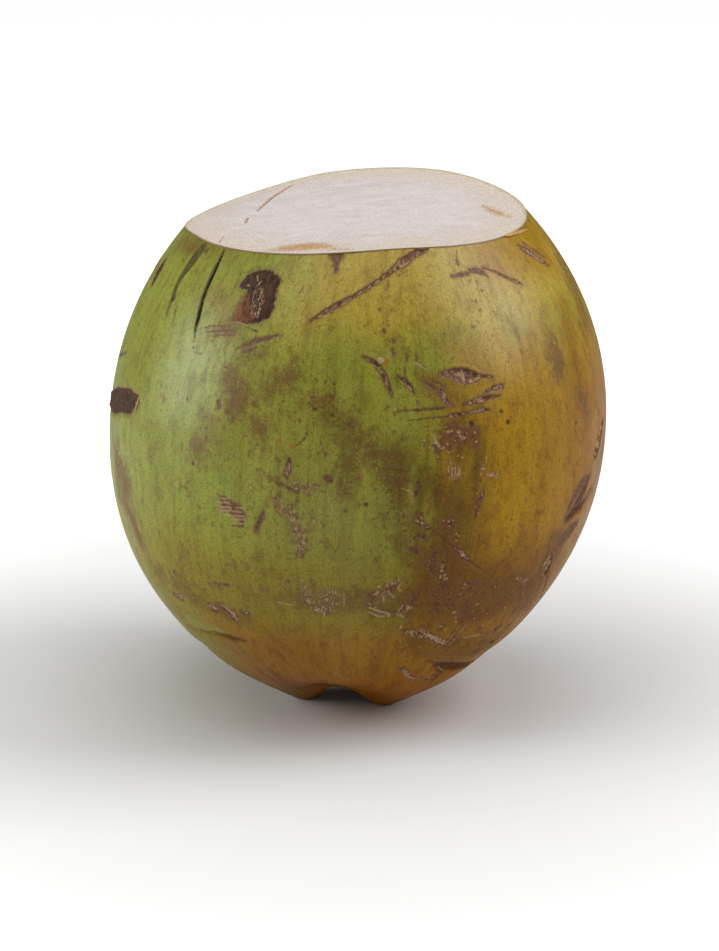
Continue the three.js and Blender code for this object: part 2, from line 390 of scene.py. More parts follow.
# %% Stains and bruises
STAINS = [  # sap has dried dark green under the skin
    [(202, 247, 1.8), (194, 257, 2.4), (186, 268, 1.9), (179.5, 277, 1.3), (175, 287, 1),
     (172.5, 297, 1.1)], [(171, 300, 0.7), (167.5, 308, 0.6), (164, 325, 0.5)],
    [(175.5, 303, 0.5), (173.5, 315, 0.5), (171.7, 326, 0.4)],
    [(216, 265, 0.9), (203, 297, 0.9), (194, 330, 0.4)],
]
BRUISES = [
    # the left edge and shoulder
    [(115.5, 462, 3), (116.5, 478, 5), (118.5, 494, 4.5)],
    [(117, 456, 1.6), (121, 467, 3.6), (125, 480, 5), (125, 492, 4.2)],
    [(124, 502, 3.6), (128, 513, 3.8), (133, 524, 2.6)],
    [(135, 530, 2.4), (139, 539, 2.8), (143, 546, 1.6)], [(149, 562, 1.6), (158, 578, 1.4)],
    [(258, 472, 0.9), (270, 478, 1.7), (284, 485, 2), (295, 490, 1.2)],
    [(521, 245, 1), (533, 253, 2), (545, 262, 1.4)],
    [(436, 433, 1), (452, 437, 1.8), (470, 429, 1.5)], [(438, 447, 1), (451, 445, 1.4)],
    [(184, 243, 1.6), (187, 236, 1.2)], [(207, 247, 1.2)], [(236, 256, 0.5), (225, 274, 0.6)],
    [(160, 386, 0.6), (162, 396, 0.9), (161, 407, 0.5)], [(143, 356, 0.3), (153, 344, 0.4)],
    [(170, 478, 1), (172, 492, 1.2)], [(188, 493, 2.2), (184, 486, 1.4)],
    # round the large scab
    [(250, 272, 1.2), (266, 270, 1.4)], [(236, 318, 1.6), (228, 324, 1)],
    [(203, 330, 1.6), (217, 330, 2.4), (232, 331, 1.6)], [(214, 302, 0.7)], [(214.5, 337.6, 0.8)],
    [(300, 290, 0.5), (309, 288, 0.8), (318, 285, 0.8), (323, 289, 0.5)],
    # upper left of the middle
    [(232, 378, 2.4), (236, 392, 3), (233, 406, 2.8), (230, 414, 1.6)], [(208, 418, 1.5)],
    [(193, 441, 1.8), (200, 446, 1.8), (206, 440, 1)],
    [(254, 420, 1.4), (260, 428, 2.4), (258, 438, 1.4)],
    [(265, 392, 1), (279, 384, 1.9), (291, 376, 1.8)], [(254, 395, 1.6), (262, 402, 1)],
    [(320, 403, 1.4), (328, 397, 2)], [(352, 418, 0.8), (350, 428, 1.2), (348, 436, 0.8)],
    [(349, 460, 1), (347, 468, 1.5)], [(340, 470, 0.4), (341, 487, 0.6), (345, 514, 0.5)],
    [(324.5, 449, 0.4), (324.5, 458, 0.5)], [(388, 274, 0.4), (388.5, 300, 0.6), (389, 317, 0.4)],
    # the grey-brown bars right of the middle
    [(359, 437, 1.4), (366, 446, 2)], [(368, 455, 2.2), (385, 460, 2.8), (402, 456, 2.4)],
    [(396, 450, 1.2), (404, 440, 1.4)], [(386, 474, 2.2), (392, 484, 2.8), (404, 476, 2.2)],
    [(295, 486, 1), (303, 489, 1.4), (312, 489, 1.4), (317, 485, 1)],
    # soft streaks down the ochre side
    [(552, 330, 1.4), (557, 348, 3), (559, 364, 3.4), (557, 375, 2.4)],
    [(581, 398, 1.2), (586, 412, 1.4)],
    [(476, 434, 1), (478, 470, 1.2), (479, 500, 1.4), (476, 514, 1)],
    [(432, 478, 0.8), (432, 495, 1), (429, 512, 0.6)], [(419, 500, 0.9), (414, 512, 0.5)],
    [(452, 515, 1.1), (448, 545, 1.4), (444, 568, 1)], [(408, 548, 0.8), (420, 554, 0.9)],
    [(400, 560, 0.6), (414, 566, 0.8), (430, 566, 0.6)],
    # the brown and speckled foot, from left to right
    [(206, 588, 0.6), (217, 587, 0.8)], [(224, 566, 1.4), (240, 564, 1.8), (256, 570, 1.6)],
    [(217, 635, 1), (232, 639, 1.4), (246, 641, 0.9)], [(214, 525, 0.8), (219, 532, 1.3)],
    [(186, 525, 0.6), (192, 522, 1.1), (199, 521, 0.6)],
    [(190, 539, 0.5), (194, 550, 0.7), (199, 560, 0.5)],
    [(217, 496, 0.8), (222, 503, 2), (232, 510, 2.4), (242, 516, 2.2), (241, 524, 1.4)],
    [(274, 500, 1.6), (284, 512, 2)], [(292, 510, 1.6), (298, 530, 2.2), (302, 556, 1.8)],
    [(302, 594, 1.4), (308, 604, 2.2)], [(326, 596, 1.8), (324, 612, 1.8), (336, 598, 1.4)],
    [(367, 604, 1.6), (388, 592, 2.6), (402, 584, 1.8)], [(380, 612, 1.6), (404, 612, 2)],
    [(430, 560, 1.8), (440, 585, 2.6), (452, 600, 2.6)],
    [(468, 590, 2.2), (486, 585, 2.4), (505, 578, 1.6)],
    [(505, 598, 2), (525, 588, 2), (541, 578, 1.4)],
    [(408, 634, 1.8), (428, 640, 2.8), (446, 644, 3), (475, 638, 2.6), (492, 632, 1.6)],
    [(519, 583, 2), (527, 588, 2.4), (520, 600, 2), (512, 612, 1.6)],
    [(448, 584, 1.4), (460, 586, 1.6), (482, 585, 1.2)], [(446, 604, 2.4), (452, 596, 2)],
    [(408, 590, 1.8), (404, 606, 2.4), (412, 614, 1.8)], [(399, 628, 2), (404, 634, 1.8)],
    [(418, 660, 1.4), (400, 652, 1.8)], [(508, 620, 1.6), (496, 632, 2), (482, 646, 1.6)],
    [(476, 649, 1.4), (488, 640, 1.2)], [(442, 582, 1.6), (445, 593, 1.6)],
    [(470, 597, 1.6), (467, 606, 2.2), (463, 617, 1.8)], [(443, 603, 1.6), (453, 605, 1.6)],
    [(475, 583, 1.2), (483, 586, 1.4)], [(388, 586, 1.8), (393, 594, 2)],
    [(368, 593, 1.8), (376, 598, 2)], [(412, 592, 2.2), (416, 602, 2.6), (412, 610, 2)],
    [(435, 581, 1), (436, 596, 1.8), (434, 612, 1.2)], [(413, 633, 1.6), (423, 637, 1.4)],
    [(321, 644.5, 1.2), (335.6, 643.7, 1.3)], [(349, 646, 1.1), (360.5, 648, 1.1)],
    # the last stroke lies in the recess under the right fold of the collar, and its brown there is
    # painted shade
    [(372, 656, 1.4)], [(433, 662, 1.2), (452, 664, 1.8), (471, 667, 1.2)],
]
print(len(STAINS), "strokes of stains and", len(BRUISES), "of bruises")

# %% [markdown]
# In a scratched place the wax is rubbed off and pale ends of fibre show. Creases are folds of
# the skin at the collar, cut in as shallow grooves, and their dark brown is painted shade: the
# shadow that falls in and under each fold. The one on the right edge is dark dead skin. Rust is
# fresh orange cork, and russets are wide mottled areas that only guide a pattern, so a few
# wide strokes do for each.

# %% Scratches, creases with painted shade, rusts and russets
SCRATCHES = [
    # in the scab
    [(261, 283, 1), (257, 294, 1.8), (258, 304, 2.2), (255, 315, 1.6)],
    [(450, 463, 0.6), (454, 470, 1.8), (457, 476, 1.4)], [(434, 439, 0.6), (438, 446, 0.7)],
    [(459, 432, 0.8), (463, 439, 0.8)], [(483, 462, 0.4), (485, 470, 0.6)],
    [(489, 474, 0.7), (497, 476, 0.7)], [(487, 487, 0.5), (482, 492, 0.6)],
    [(297, 486, 1.5), (307, 490, 1.8), (316, 486, 1.5)],
    [(276, 499, 1.2), (282, 509, 1.7), (287, 516, 0.9)],
    [(291, 508, 1), (294, 522, 1.5), (299, 536, 1.9), (300, 552, 1.5), (302, 560, 0.7)],
    [(306, 533, 0.8), (312, 524, 1.1), (314, 516, 0.6)], [(277, 603, 0.3), (291, 606, 0.4)],
    [(304, 590, 1.5), (308, 600, 2.2), (311, 608, 1.5)], [(312, 608, 1), (322, 613, 1.3)],
    [(326, 594, 1.9), (327, 606, 2.1), (323, 615, 1.2)], [(335, 593, 1.6), (337, 603, 1.5)],
    [(330, 616, 0.7), (336, 612, 0.6)], [(369, 606, 0.9), (378, 612, 1.3), (388, 616, 1.1)],
    [(398, 616, 0.9), (404, 610, 1.4), (412, 607, 1)], [(379, 593, 1.2), (386, 590, 1.2)],
    [(389, 586, 1.2), (398, 583, 1.6), (404, 580, 1)], [(384, 598, 1), (392, 596, 1)],
    [(409, 633, 1.2), (421, 636, 1.6)], [(422, 633, 1.4), (433, 639, 2.1), (445, 645, 1.6)],
    [(401, 669, 1), (407, 675, 1.4)], [(410, 678.5, 1), (424, 680, 1.3), (432, 679, 0.8)],
    [(519, 580, 0.7), (527, 581, 1)], [(213, 607, 0.5)], [(228, 609, 0.6), (235, 618, 0.5)],
    [(441, 566, 0.4), (445, 576, 0.5)], [(346, 625, 0.4), (352, 627, 0.5)],
]
# The dark brown of the creases is painted shade, the shadow in and under the folds of the collar.
CREASES_AND_SHADE = [
    [(181, 624, 0.2), (197, 631, 0.35), (214, 634, 0.8), (228, 638, 1.5), (243, 641.5, 1)],
    [(426, 662, 0.3), (440, 664.5, 1), (455, 666, 1.5), (474, 662.5, 0.8)],
    [(436, 666, 1), (448, 668, 2.2), (460, 668, 2.2), (470, 665.5, 1.2)],
    [(430, 685, 0.2), (439, 676.5, 0.5), (449, 667, 0.7)], [(434, 670, 0.15), (441, 674, 0.3)],
    [(432.5, 675, 0.15), (438, 678, 0.25)],
    # and one on the right edge, through a dead patch
    [(593.5, 486, 0.5), (588, 497, 0.9), (582, 507, 1.5), (575, 513, 1.6), (569, 519, 0.8)],
]
RUSTS = [  # in the large scab
    [(245, 297, 1.4), (244, 307, 2.6), (241, 316, 2.4)], [(250, 318, 1.2)],
    [(262, 291, 0.4), (263, 300, 0.6)],
]
RUSSETS = [
    [(436, 560, 6), (452, 590, 9), (480, 605, 9), (515, 590, 7)], [(528, 600, 5), (556, 545, 5)],
    [(436, 480, 3), (452, 515, 5), (444, 550, 5)], [(452, 432, 3), (470, 440, 3)],
    [(228, 372, 3), (238, 392, 4), (236, 410, 3)], [(196, 444, 3)], [(258, 428, 3)],
    [(272, 386, 3), (292, 374, 3)], [(318, 402, 3), (346, 426, 3), (350, 460, 3), (345, 490, 3)],
    [(366, 445, 4), (390, 466, 5), (398, 500, 3), (408, 550, 4)], [(116, 456, 2), (125, 488, 3)],
    [(132, 520, 2), (138, 540, 2)], [(160, 572, 2)], [(176, 585, 3), (206, 606, 3), (240, 618, 3)],
    [(300, 600, 3), (330, 604, 3), (385, 600, 5), (405, 612, 4)], [(552, 350, 3), (560, 372, 3)],
    [(582, 395, 2), (588, 412, 2)], [(230, 328, 3)], [(244, 356, 2), (262, 352, 1)],
    [(182, 240, 3), (196, 250, 3)], [(420, 645, 5), (460, 655, 5), (495, 640, 4)],
]
print(len(SCRATCHES), "scratched strokes,", len(CREASES_AND_SHADE), "creases,", len(RUSTS), "rusts and",
      len(RUSSETS), "russets")

# %% [markdown]
# Round spots need no path, only a place and a radius. Many share a radius, so each table is
# written by radius in millimetres, with the places that have it.

# %% Round spots
DOTS = {  # black pits like the prick of a pin
    1.1: [(172.3, 297.5)],
    0.8: [(492.6, 642.8)],
    0.75: [(471.8, 423.7)],
    0.65: [(508.5, 422.2)],
    0.5: [(501.5, 411.5)],
    0.45: [(191.7, 463.6)],
    0.42: [(137, 324)],
    0.4: [(577.3, 422.6), (315, 409.4), (332, 415), (254.8, 330.7), (366, 504.7)],
    0.35: [(334.7, 384.3), (181.8, 259.8)],
    0.3: [(124.5, 357), (493.5, 588.6)],
    0.26: [(192.6, 347)],
    0.25: [(324.8, 382.3), (186, 399), (123.6, 343), (125, 350), (497.2, 586)],
    0.22: [(193, 341)],
    0.2: [(537, 419)],
}
FLECKS = {  # brown spots with a ragged edge
    1.8: [(468, 605), (414, 598)],
    1.7: [(455, 426), (463, 434), (474, 430), (452, 606)],
    1.6: [(443.5, 587), (464, 612), (448, 604), (391, 590), (372, 596), (435, 594), (436, 606)],
    1.5: [(449, 427), (459, 430), (456, 439), (470, 436), (474, 438), (441, 574)],
    1.4: [(418, 635.5), (478, 651), (410, 604)],
    1.3: [(452, 436), (466, 441), (446, 437), (443, 441), (440, 450), (460, 448), (436, 446),
          (476, 446), (446, 524), (421, 516), (446, 583), (520, 588), (528, 585), (522, 598),
          (509, 626), (497, 629), (470, 618), (440, 630), (406, 631), (460, 596), (444, 594),
          (432, 612), (462, 620), (480, 630), (478.5, 584.5), (454, 633)],
    1.2: [(451.7, 603.3)],
    1.1: [(450, 447), (452, 519), (470, 590), (484, 594), (488, 612), (500, 604)],
    1: [(458.5, 437.5), (477.4, 432)],
    0.9: [(350, 425), (366, 504.7), (448, 601), (495.5, 587.4)],
    0.8: [(287.5, 581.5), (353.8, 587), (475.7, 441), (448, 429), (325, 454)],
    0.75: [(384.4, 330.7)],
    0.7: [(473, 326), (467, 430), (446, 446), (439, 457), (418, 403), (394, 432), (436, 452),
          (498, 566)],
    0.6: [(379.7, 309), (482.5, 290.5), (476, 300.7), (280, 579), (456, 424), (424, 444),
          (226, 585), (462, 445), (471, 603), (538, 551), (527, 500)],
    0.5: [(354, 405), (310.5, 396.6), (441, 433), (168, 583), (174, 612), (185, 478), (206, 452),
          (320, 444), (512, 520), (414.6, 373), (218, 420), (244, 436), (336, 440), (358, 478),
          (230, 556), (262, 590), (402, 512), (512, 552), (486, 548)],
    0.45: [(421, 285), (470.5, 281), (478.6, 283)],
    0.4: [(375, 332.5), (519, 293), (516.7, 270.8), (160, 571), (165, 600), (297, 343), (316, 358),
          (430, 395.6), (207, 428), (248, 452), (300, 420), (312, 428), (374, 520), (336, 552),
          (250, 486), (290, 560), (346, 560), (461, 470)],
    0.35: [(481, 309.6), (521, 288), (514, 286)],
    0.3: [(522, 259), (412, 300)],
}
AMBER_DOTS = {  # drops of gum that has dried orange
    0.9: [(387, 361)],
    0.8: [(360, 476), (292.2, 446)],
    0.7: [(278.6, 441.3)],
    0.6: [(500, 387), (198.5, 264), (418, 251)],
    0.4: [(309, 323)],
}
PALE_DOTS = {  # crumbs of pale fibre
    1: [(380.7, 360.5)],
    0.9: [(545.5, 568)],
    0.6: [(454.4, 613), (463.7, 555.5), (548, 561), (410.8, 633.3)],
    0.5: [(518, 578.8), (527, 580.5), (436, 442.7), (213.5, 609), (233, 614), (437.7, 443.6),
          (392.5, 584), (375, 595), (421.7, 637.5)],
    0.45: [(339, 677), (252, 668), (226, 609), (236, 620), (458.6, 432.7), (379, 587.5)],
    0.4: [(164.3, 271.8), (352, 523), (395, 409.6), (301.6, 581.5), (495.5, 587.2), (477.6, 605),
          (209, 606.5), (179, 597), (449.5, 432), (460.5, 436.4), (475, 432.7), (476.8, 441.8),
          (439.5, 446.4), (438.6, 457.3), (482.3, 469), (477.7, 493.6), (421.4, 518.2),
          (418.6, 521.8), (423.2, 523.6), (449.5, 521.8), (456.8, 534.5), (443, 572), (441, 577),
          (465, 585), (475, 619), (441, 627), (445, 630), (401, 629), (412, 634), (477, 648),
          (388.3, 591.7), (456, 618), (456, 621.7), (505.4, 608.3), (505, 631.7), (513, 626.7),
          (443.3, 565), (443, 568), (441.7, 571.7), (445.4, 575.8), (440.8, 579)],
    0.35: [(389, 319.6), (388, 357), (582.4, 405), (294.5, 365.5), (463, 439), (442, 449),
          (294, 561), (273.8, 322.5), (484.3, 391.9), (452, 431), (440, 437), (465, 438),
          (444, 448), (447.7, 444.5), (453, 451), (458.6, 456.4), (463, 458), (481.4, 474.5),
          (486.8, 458), (488.6, 475.5), (493, 474.5), (497.7, 474.5), (496.8, 479), (482.3, 494.5),
          (476, 507), (478.6, 513.6), (444, 500), (444, 521), (453.2, 521), (449.5, 526.4),
          (459.5, 536.4), (456.8, 541), (429.5, 448), (444, 579), (446, 580), (525, 586),
          (523, 593), (535, 580), (448, 628), (491, 622), (493, 630), (507, 629), (513, 624),
          (379, 593), (400, 642.5), (420, 647.5), (406.7, 645.8), (460.8, 594.6), (472, 594),
          (473, 612), (487.5, 614), (483, 626), (524, 595), (447, 578.8)],
    0.3: [(339, 364.7), (447, 432), (377, 488), (177.5, 540.5), (182, 541), (248, 521.5),
          (256.5, 669.5), (446, 427), (467, 433), (455, 441), (433, 449), (461, 426),
          (449.5, 452.7), (484, 498), (422.3, 540), (434, 443.6), (429.5, 429), (424, 441),
          (422.3, 444.5), (464, 588)],
    0.25: [(332, 333.6), (310, 486), (302, 491)],
    0.18: [(129, 410)],
    0.15: [(132, 398), (126, 405), (124, 399), (131, 404)],
}
print("spots:", [sum(map(len, table.values())) for table in (DOTS, FLECKS, AMBER_DOTS, PALE_DOTS)])

# %% [markdown]
# The finest marks are lines a few tenths of a millimetre wide: threads of fibre that stand up
# pale, and scratches that have healed dark. Two pale ones, on the dead patch at the right edge,
# are painted highlights where its gloss catches the light.

# %% Pale and dark lines
PALE_LINES = [
    # in the large scab, and at the end of the one on the left edge
    [(256, 287, 0.05), (252.5, 299, 0.1), (251, 312, 0.1), (250, 320, 0.04)],
    [(258, 292, 0.05), (262, 301, 0.08)], [(247, 284.6, 0.25), (249.5, 285.6, 0.2)],
    [(257, 275.6, 0.2), (258, 281, 0.1)],
    [(137.3, 397.5, 0.25), (136.5, 403, 0.5), (134.5, 409, 0.25)],
    [(208, 324, 0.08), (219.6, 323, 0.14), (237, 321.7, 0.2), (248.3, 325.7, 0.14)],
    # a ladder of short threads
    [(218, 498.6, 0.2), (226.5, 499.6, 0.3)], [(215, 502.4, 0.2), (228.5, 503.2, 0.32)],
    [(216.5, 506.8, 0.24), (230, 508, 0.32)], [(234, 507.6, 0.2), (242, 508.8, 0.24)],
    [(217.5, 510.8, 0.25), (229, 511.4, 0.3), (242, 512.8, 0.28)],
    [(220, 515, 0.22), (231, 516, 0.32), (243.5, 516.8, 0.26)],
    [(230, 519.6, 0.25), (246, 520.2, 0.28)], [(233, 523.6, 0.22), (244, 524.4, 0.24)],
    # a comb of upright ones
    [(448, 462, 0.1), (449.5, 474, 0.2)], [(451.5, 464, 0.15), (452.5, 478, 0.2)],
    [(455, 462, 0.1), (456, 477, 0.22)], [(458.5, 466, 0.12), (459, 477, 0.18)],
    [(461, 468, 0.1), (460.5, 475, 0.15)],
    # fine scratches
    [(171.3, 476, 0.12), (173, 492, 0.2)], [(143.4, 501, 0.12), (145.6, 517.5, 0.2)],
    [(140.6, 515, 0.15), (147, 518, 0.2)],
    [(327, 489.4, 0.15), (331, 505, 0.2), (335.5, 522.5, 0.1)],
    [(277.5, 603, 0.15), (292.5, 606, 0.2)], [(252.7, 584, 0.15), (256, 592, 0.2)],
    [(253.5, 592.5, 0.15), (258, 593, 0.15)], [(344, 594, 0.2), (344, 606, 0.15)],
    [(461.6, 637, 0.1), (478, 635, 0.2), (493.5, 635.7, 0.1)],
    [(449, 646, 0.2), (466, 625.5, 0.2)], [(446, 644, 0.15), (460, 626, 0.2)],
    [(424, 634.5, 0.2), (434, 640, 0.3), (444, 645, 0.2)], [(428, 634.5, 0.15), (441, 641, 0.25)],
    [(403, 671, 0.2), (406, 677, 0.3), (414, 679, 0.25)], [(464, 638.5, 0.2), (480, 636, 0.3)],
    [(438, 668, 0.15), (444, 673, 0.2)], [(388, 592, 0.2), (394, 598, 0.3)],
    [(401, 584, 0.25), (398, 588, 0.35), (401, 591.7, 0.25)], [(383, 595, 0.2), (384, 603, 0.25)],
    [(368.8, 608.3, 0.25), (379, 611.7, 0.35), (389, 614, 0.25), (389.5, 617, 0.2)],
    [(368.8, 612, 0.2), (376.7, 616.7, 0.35), (384, 617.5, 0.3)],
    [(399, 611.7, 0.2), (403.3, 605.8, 0.3)], [(400.8, 615, 0.25), (403.3, 618.3, 0.3)],
    [(407.5, 612, 0.2), (408, 607, 0.25), (412, 609, 0.2)], [(401.7, 626.7, 0.3), (400, 630, 0.3)],
    [(274, 657.7, 0.15), (266, 667, 0.2)], [(413.7, 362.6, 0.1), (425.8, 369.5, 0.16)],
    [(416, 362.8, 0.1), (420.5, 366, 0.1)],
    [(401.7, 488.5, 0.15), (408, 490.6, 0.25), (415, 494.4, 0.12)],
    [(487, 456, 0.1), (485, 470, 0.16)], [(487, 476, 0.12), (500, 476.5, 0.16)],
    [(434, 438, 0.2), (438, 446, 0.25)], [(597.5, 443.5, 0.3), (596, 453.5, 0.3)],
    [(545.5, 574, 0.2), (542, 592, 0.15)], [(447, 668, 0.1), (433, 684, 0.15)],
    # the next two are painted highlights along the dead patch on the right edge
    [(591, 500, 0.25), (586, 515, 0.4), (580, 530, 0.4), (574, 544, 0.25)],
    [(583, 488, 0.2), (576, 501, 0.3), (568, 515, 0.2)],
    [(407, 675, 0.1), (412, 679, 0.15), (430, 679.6, 0.15)],
]
DARK_LINES = [
    [(192.5, 351.5, 0.1), (200.4, 353.8, 0.15)], [(134, 470, 0.1), (150, 474.4, 0.12)],
    [(198, 253, 0.3), (191, 262, 0.4), (187, 268, 0.2)],
    [(203, 327, 0.1), (213, 325, 0.2), (224, 325.4, 0.1)], [(244, 326, 0.1), (257, 331.4, 0.3)],
    [(206, 331.6, 0.1), (218, 330, 0.2), (233, 329.4, 0.12)],
    [(210, 335.6, 0.1), (222, 334.4, 0.2), (234, 335, 0.1)], [(231, 526, 0.2), (243, 527, 0.3)],
    [(549, 573, 0.4), (546, 586, 0.4), (541, 599, 0.2)],
    [(589, 481, 0.8), (583, 494, 1.8), (576, 507, 1.6), (571, 514, 0.6)],
    [(445, 642, 0.2), (462, 621, 0.25)], [(450, 648, 0.2), (467, 628, 0.2)],
    [(436, 668, 0.2), (443, 674, 0.3)], [(431, 682, 0.2), (437, 677, 0.35), (446, 668, 0.3)],
    [(408.5, 420.3, 0.15), (427.5, 418.5, 0.28), (446.4, 416.8, 0.2)],
    [(575.6, 429, 0.15), (574, 491, 0.25)], [(457, 251, 0.12), (457.6, 259, 0.15)],
    [(447, 644, 0.2), (464, 623, 0.25)], [(431, 529, 0.25), (443, 538, 0.2), (454, 547.5, 0.3)],
    [(470, 561, 0.35), (478, 567, 0.22), (488, 573, 0.08)], [(476, 515, 0.25), (469, 542.5, 0.12)],
    [(297.7, 445.2, 0.3), (305.7, 437.3, 0.25), (307.3, 430.9, 0.15)],
    [(491, 306, 0.1), (498, 318, 0.1)], [(395, 470, 0.25), (410, 471.5, 0.2)],
    [(398, 410.8, 0.1), (424, 410.4, 0.14), (443, 408.2, 0.18)],
    [(393, 270, 0.12), (400, 275, 0.16), (407, 270, 0.12)], [(383, 328, 0.2), (384.5, 333, 0.25)],
]

print(len(PALE_LINES), "pale lines and", len(DARK_LINES), "dark ones")

# %% [markdown]
# ### Marks on the slice
# The blade has torn the fibres open in a few thin lines, sap has stained some tan, and duns
# are faint grey shades along the streaks.

# %% Nicks and stains of the slice
NICKS = [
    [(292, 183.4, 0.5), (284, 188, 0.8), (272, 195.6, 0.8), (264, 203, 0.6), (257, 209.4, 0.35)],
    [(247.5, 216, 0.4), (245.5, 221, 0.35)], [(223.5, 234.6, 0.12), (219.3, 241, 0.1)],
]
TANS = [
    [(272, 248, 1.6), (286, 246.4, 3.6), (303, 245.2, 4.6), (318, 244.6, 3.8), (331, 245, 2)],
    [(333, 247.5, 1.8), (346, 247.5, 1.4)],
    [(485, 204, 1.2), (492, 209, 2.6), (500, 212.4, 2.6), (509, 215, 1.4)], [(313, 191, 0.5)],
    [(367, 233.5, 0.5)], [(395, 233.5, 0.5)], [(261, 239, 0.5)],
]
DUNS = [
    [(326, 186, 0.8), (352, 186, 1.8), (376, 184, 2.2), (400, 182, 1.2)],
    [(296, 195, 0.8), (310, 192, 1.4), (326, 188, 0.8)],
    [(345, 235, 0.6), (370, 233, 1.2), (400, 234, 1.2), (425, 236, 0.6)],
]

print(len(NICKS), "nicks,", len(TANS), "tan stains and", len(DUNS), "dun shades")

# %% [markdown]
# ### The far side
# The back of the fruit has had the same life, so it gets marks of the same kinds. A random
# generator with a fixed seed scatters them, so that they fall in the same places every time.
# All the strokes of one kind are then gathered under its name.

# %% Scatter marks on the far side
SCATTER = {  # number, slimmest and widest half-width, longest run, all lengths in millimetres
    "gouge": (5, 0.6, 1.6, 13), "crack": (2, 0.3, 0.5, 22), "scab": (3, 1.4, 4.0, 7),
    "scar": (8, 0.5, 1.2, 9), "flake": (12, 0.5, 1.6, 9), "stain": (3, 0.7, 1.3, 22),
    "bruise": (46, 0.9, 3.0, 9), "scratch": (11, 0.9, 2.0, 6), "dot": (9, 0.4, 0.8, 0),
    "fleck": (44, 0.4, 1.0, 1), "amber": (4, 0.5, 0.9, 0), "russet": (22, 3.0, 8.0, 30),
    "pale": (26, 0.2, 0.4, 5), "line": (12, 0.15, 0.3, 14),
}
FAR_SIDE = (78, 282)  # azimuths in degrees
FOOT_Z, SPREAD_Z, TOP_Z = 16, 150, 148  # heights in millimetres
HIGH_BIAS = 0.8  # below 1 puts somewhat more marks high up than low down
TIP = 0.6  # a stroke's last half-width, as a share of its slimmest
chance = random.Random(23)


def scattered(slimmest, widest, longest):
    """A short stroke of three points that tapers to its ends, somewhere on the far side."""
    azimuth, height = chance.uniform(*FAR_SIDE), SPREAD_Z * chance.random() ** HIGH_BIAS + FOOT_Z
    height = min(height, TOP_Z)
    direction, run = chance.uniform(0, 2 * math.pi), longest * chance.uniform(0.3, 1)
    widths = [slimmest, chance.uniform(slimmest, widest), slimmest * TIP]
    path = []
    for step, width in zip((-0.5, chance.uniform(-0.2, 0.2), 0.5), widths):
        turn = math.degrees(step * run * math.cos(direction) * MM / HALF_WIDTH)
        spot = on_side(azimuth + turn, height + step * run * math.sin(direction))
        path.append((spot, width * MM))
    return path


def spots(table):
    """A table of radii, with the places of each, as strokes of one point."""
    return [[(x, y, radius)] for radius, dots in table.items() for x, y in dots]


drawn = {
    "gouge": GOUGES, "crack": CRACKS, "scab": SCABS, "scar": SCARS, "flake": FLAKES,
    "stain": STAINS, "bruise": BRUISES, "scratch": SCRATCHES, "crease_and_shade": CREASES_AND_SHADE,
    "rust": RUSTS, "russet": RUSSETS, "dot": spots(DOTS), "fleck": spots(FLECKS),
    "amber": spots(AMBER_DOTS), "pale": spots(PALE_DOTS) + PALE_LINES, "line": DARK_LINES,
    "nick": NICKS, "tan": TANS, "dun": DUNS,
}
strokes = {kind: [pinned(path) for path in paths] for kind, paths in drawn.items()}
for kind, (number, slimmest, widest, longest) in SCATTER.items():
    strokes[kind] += [scattered(slimmest, widest, longest) for _ in range(number)]
print("marks:", {kind: len(paths) for kind, paths in strokes.items()})

# %% [markdown]
# ### Distances to the marks
# Each kind of mark becomes one number per vertex: how far inside the nearest stroke the vertex
# is, in millimetres, and negative outside. Blender blends such numbers linearly over a face,
# so the material can cut them at zero and get an edge that is sharper than the mesh.

# %% Fields
FAR = 9 * MM  # fields aren't worked out farther from a stroke than this


def stroke_field(places, path):
    """How far inside a tapering stroke each place is, in metres."""
    field = np.full(len(places), -FAR)
    for (start, start_width), (end, end_width) in zip(path, path[1:] or path):
        run = end - start
        share = np.clip((places - start) @ run / max(run @ run, 1e-12), 0, 1)
        gap = np.linalg.norm(places - start - share[:, None] * run, axis=1)
        field = np.maximum(field, start_width + (end_width - start_width) * share - gap)
    return field


def marks_field(places, strokes):
    """The same for the nearest of several pinned strokes."""
    field = np.full(len(places), -FAR)
    for path in strokes:
        middle = np.mean([spot for spot, _ in path], axis=0)
        reach = max(np.linalg.norm(spot - middle) + width for spot, width in path) + FAR
        near = np.linalg.norm(places - middle, axis=1) < reach
        field[near] = np.maximum(field[near], stroke_field(places[near], path))
    return field


# %% [markdown]
# ## Finer faces at the marks
# The globe's faces are about 2 mm across, which is right for the flanks and too coarse for a
# scar. Two rounds of subdivision, only where a crisp mark is near, bring that to 0.5 mm.
# Bruises and stains have soft edges, so they need no finer faces.

# %% Refine
CRISP = ["gouge", "crack", "scab", "scar", "flake", "dot", "fleck", "amber", "pale", "line",
         "nick"]
REFINE_REACH = [1.4 * MM, 0.65 * MM]
for reach in REFINE_REACH:
    places, _ = grown_places(*globe_angles())
    near = np.zeros(len(places), bool)
    for kind in CRISP:
        near |= marks_field(places, strokes[kind]) > -reach
    globe.verts.index_update()
    edges = [edge for edge in globe.edges
             if any(near[vert.index] for face in edge.link_faces for vert in face.verts)]
    bmesh.ops.subdivide_edges(globe, edges=edges, cuts=1, use_grid_fill=True)
    for vert in globe.verts:
        vert.co.normalize()
    print("refined to", len(globe.verts), "vertices")

# %% [markdown]
# ## Relief
# The skin isn't a perfect surface: it swells and flattens by a few tenths of a millimetre, in
# shallow facets that run with the fibres. The marks are cut into it: a gouge has a raised lip
# and a rough bed, a crack is narrow and deep, and a scab is a low plate with a sunken rim. All
# of this moves the vertices themselves, along their normals, so the light catches it truly and
# an exported mesh keeps it.

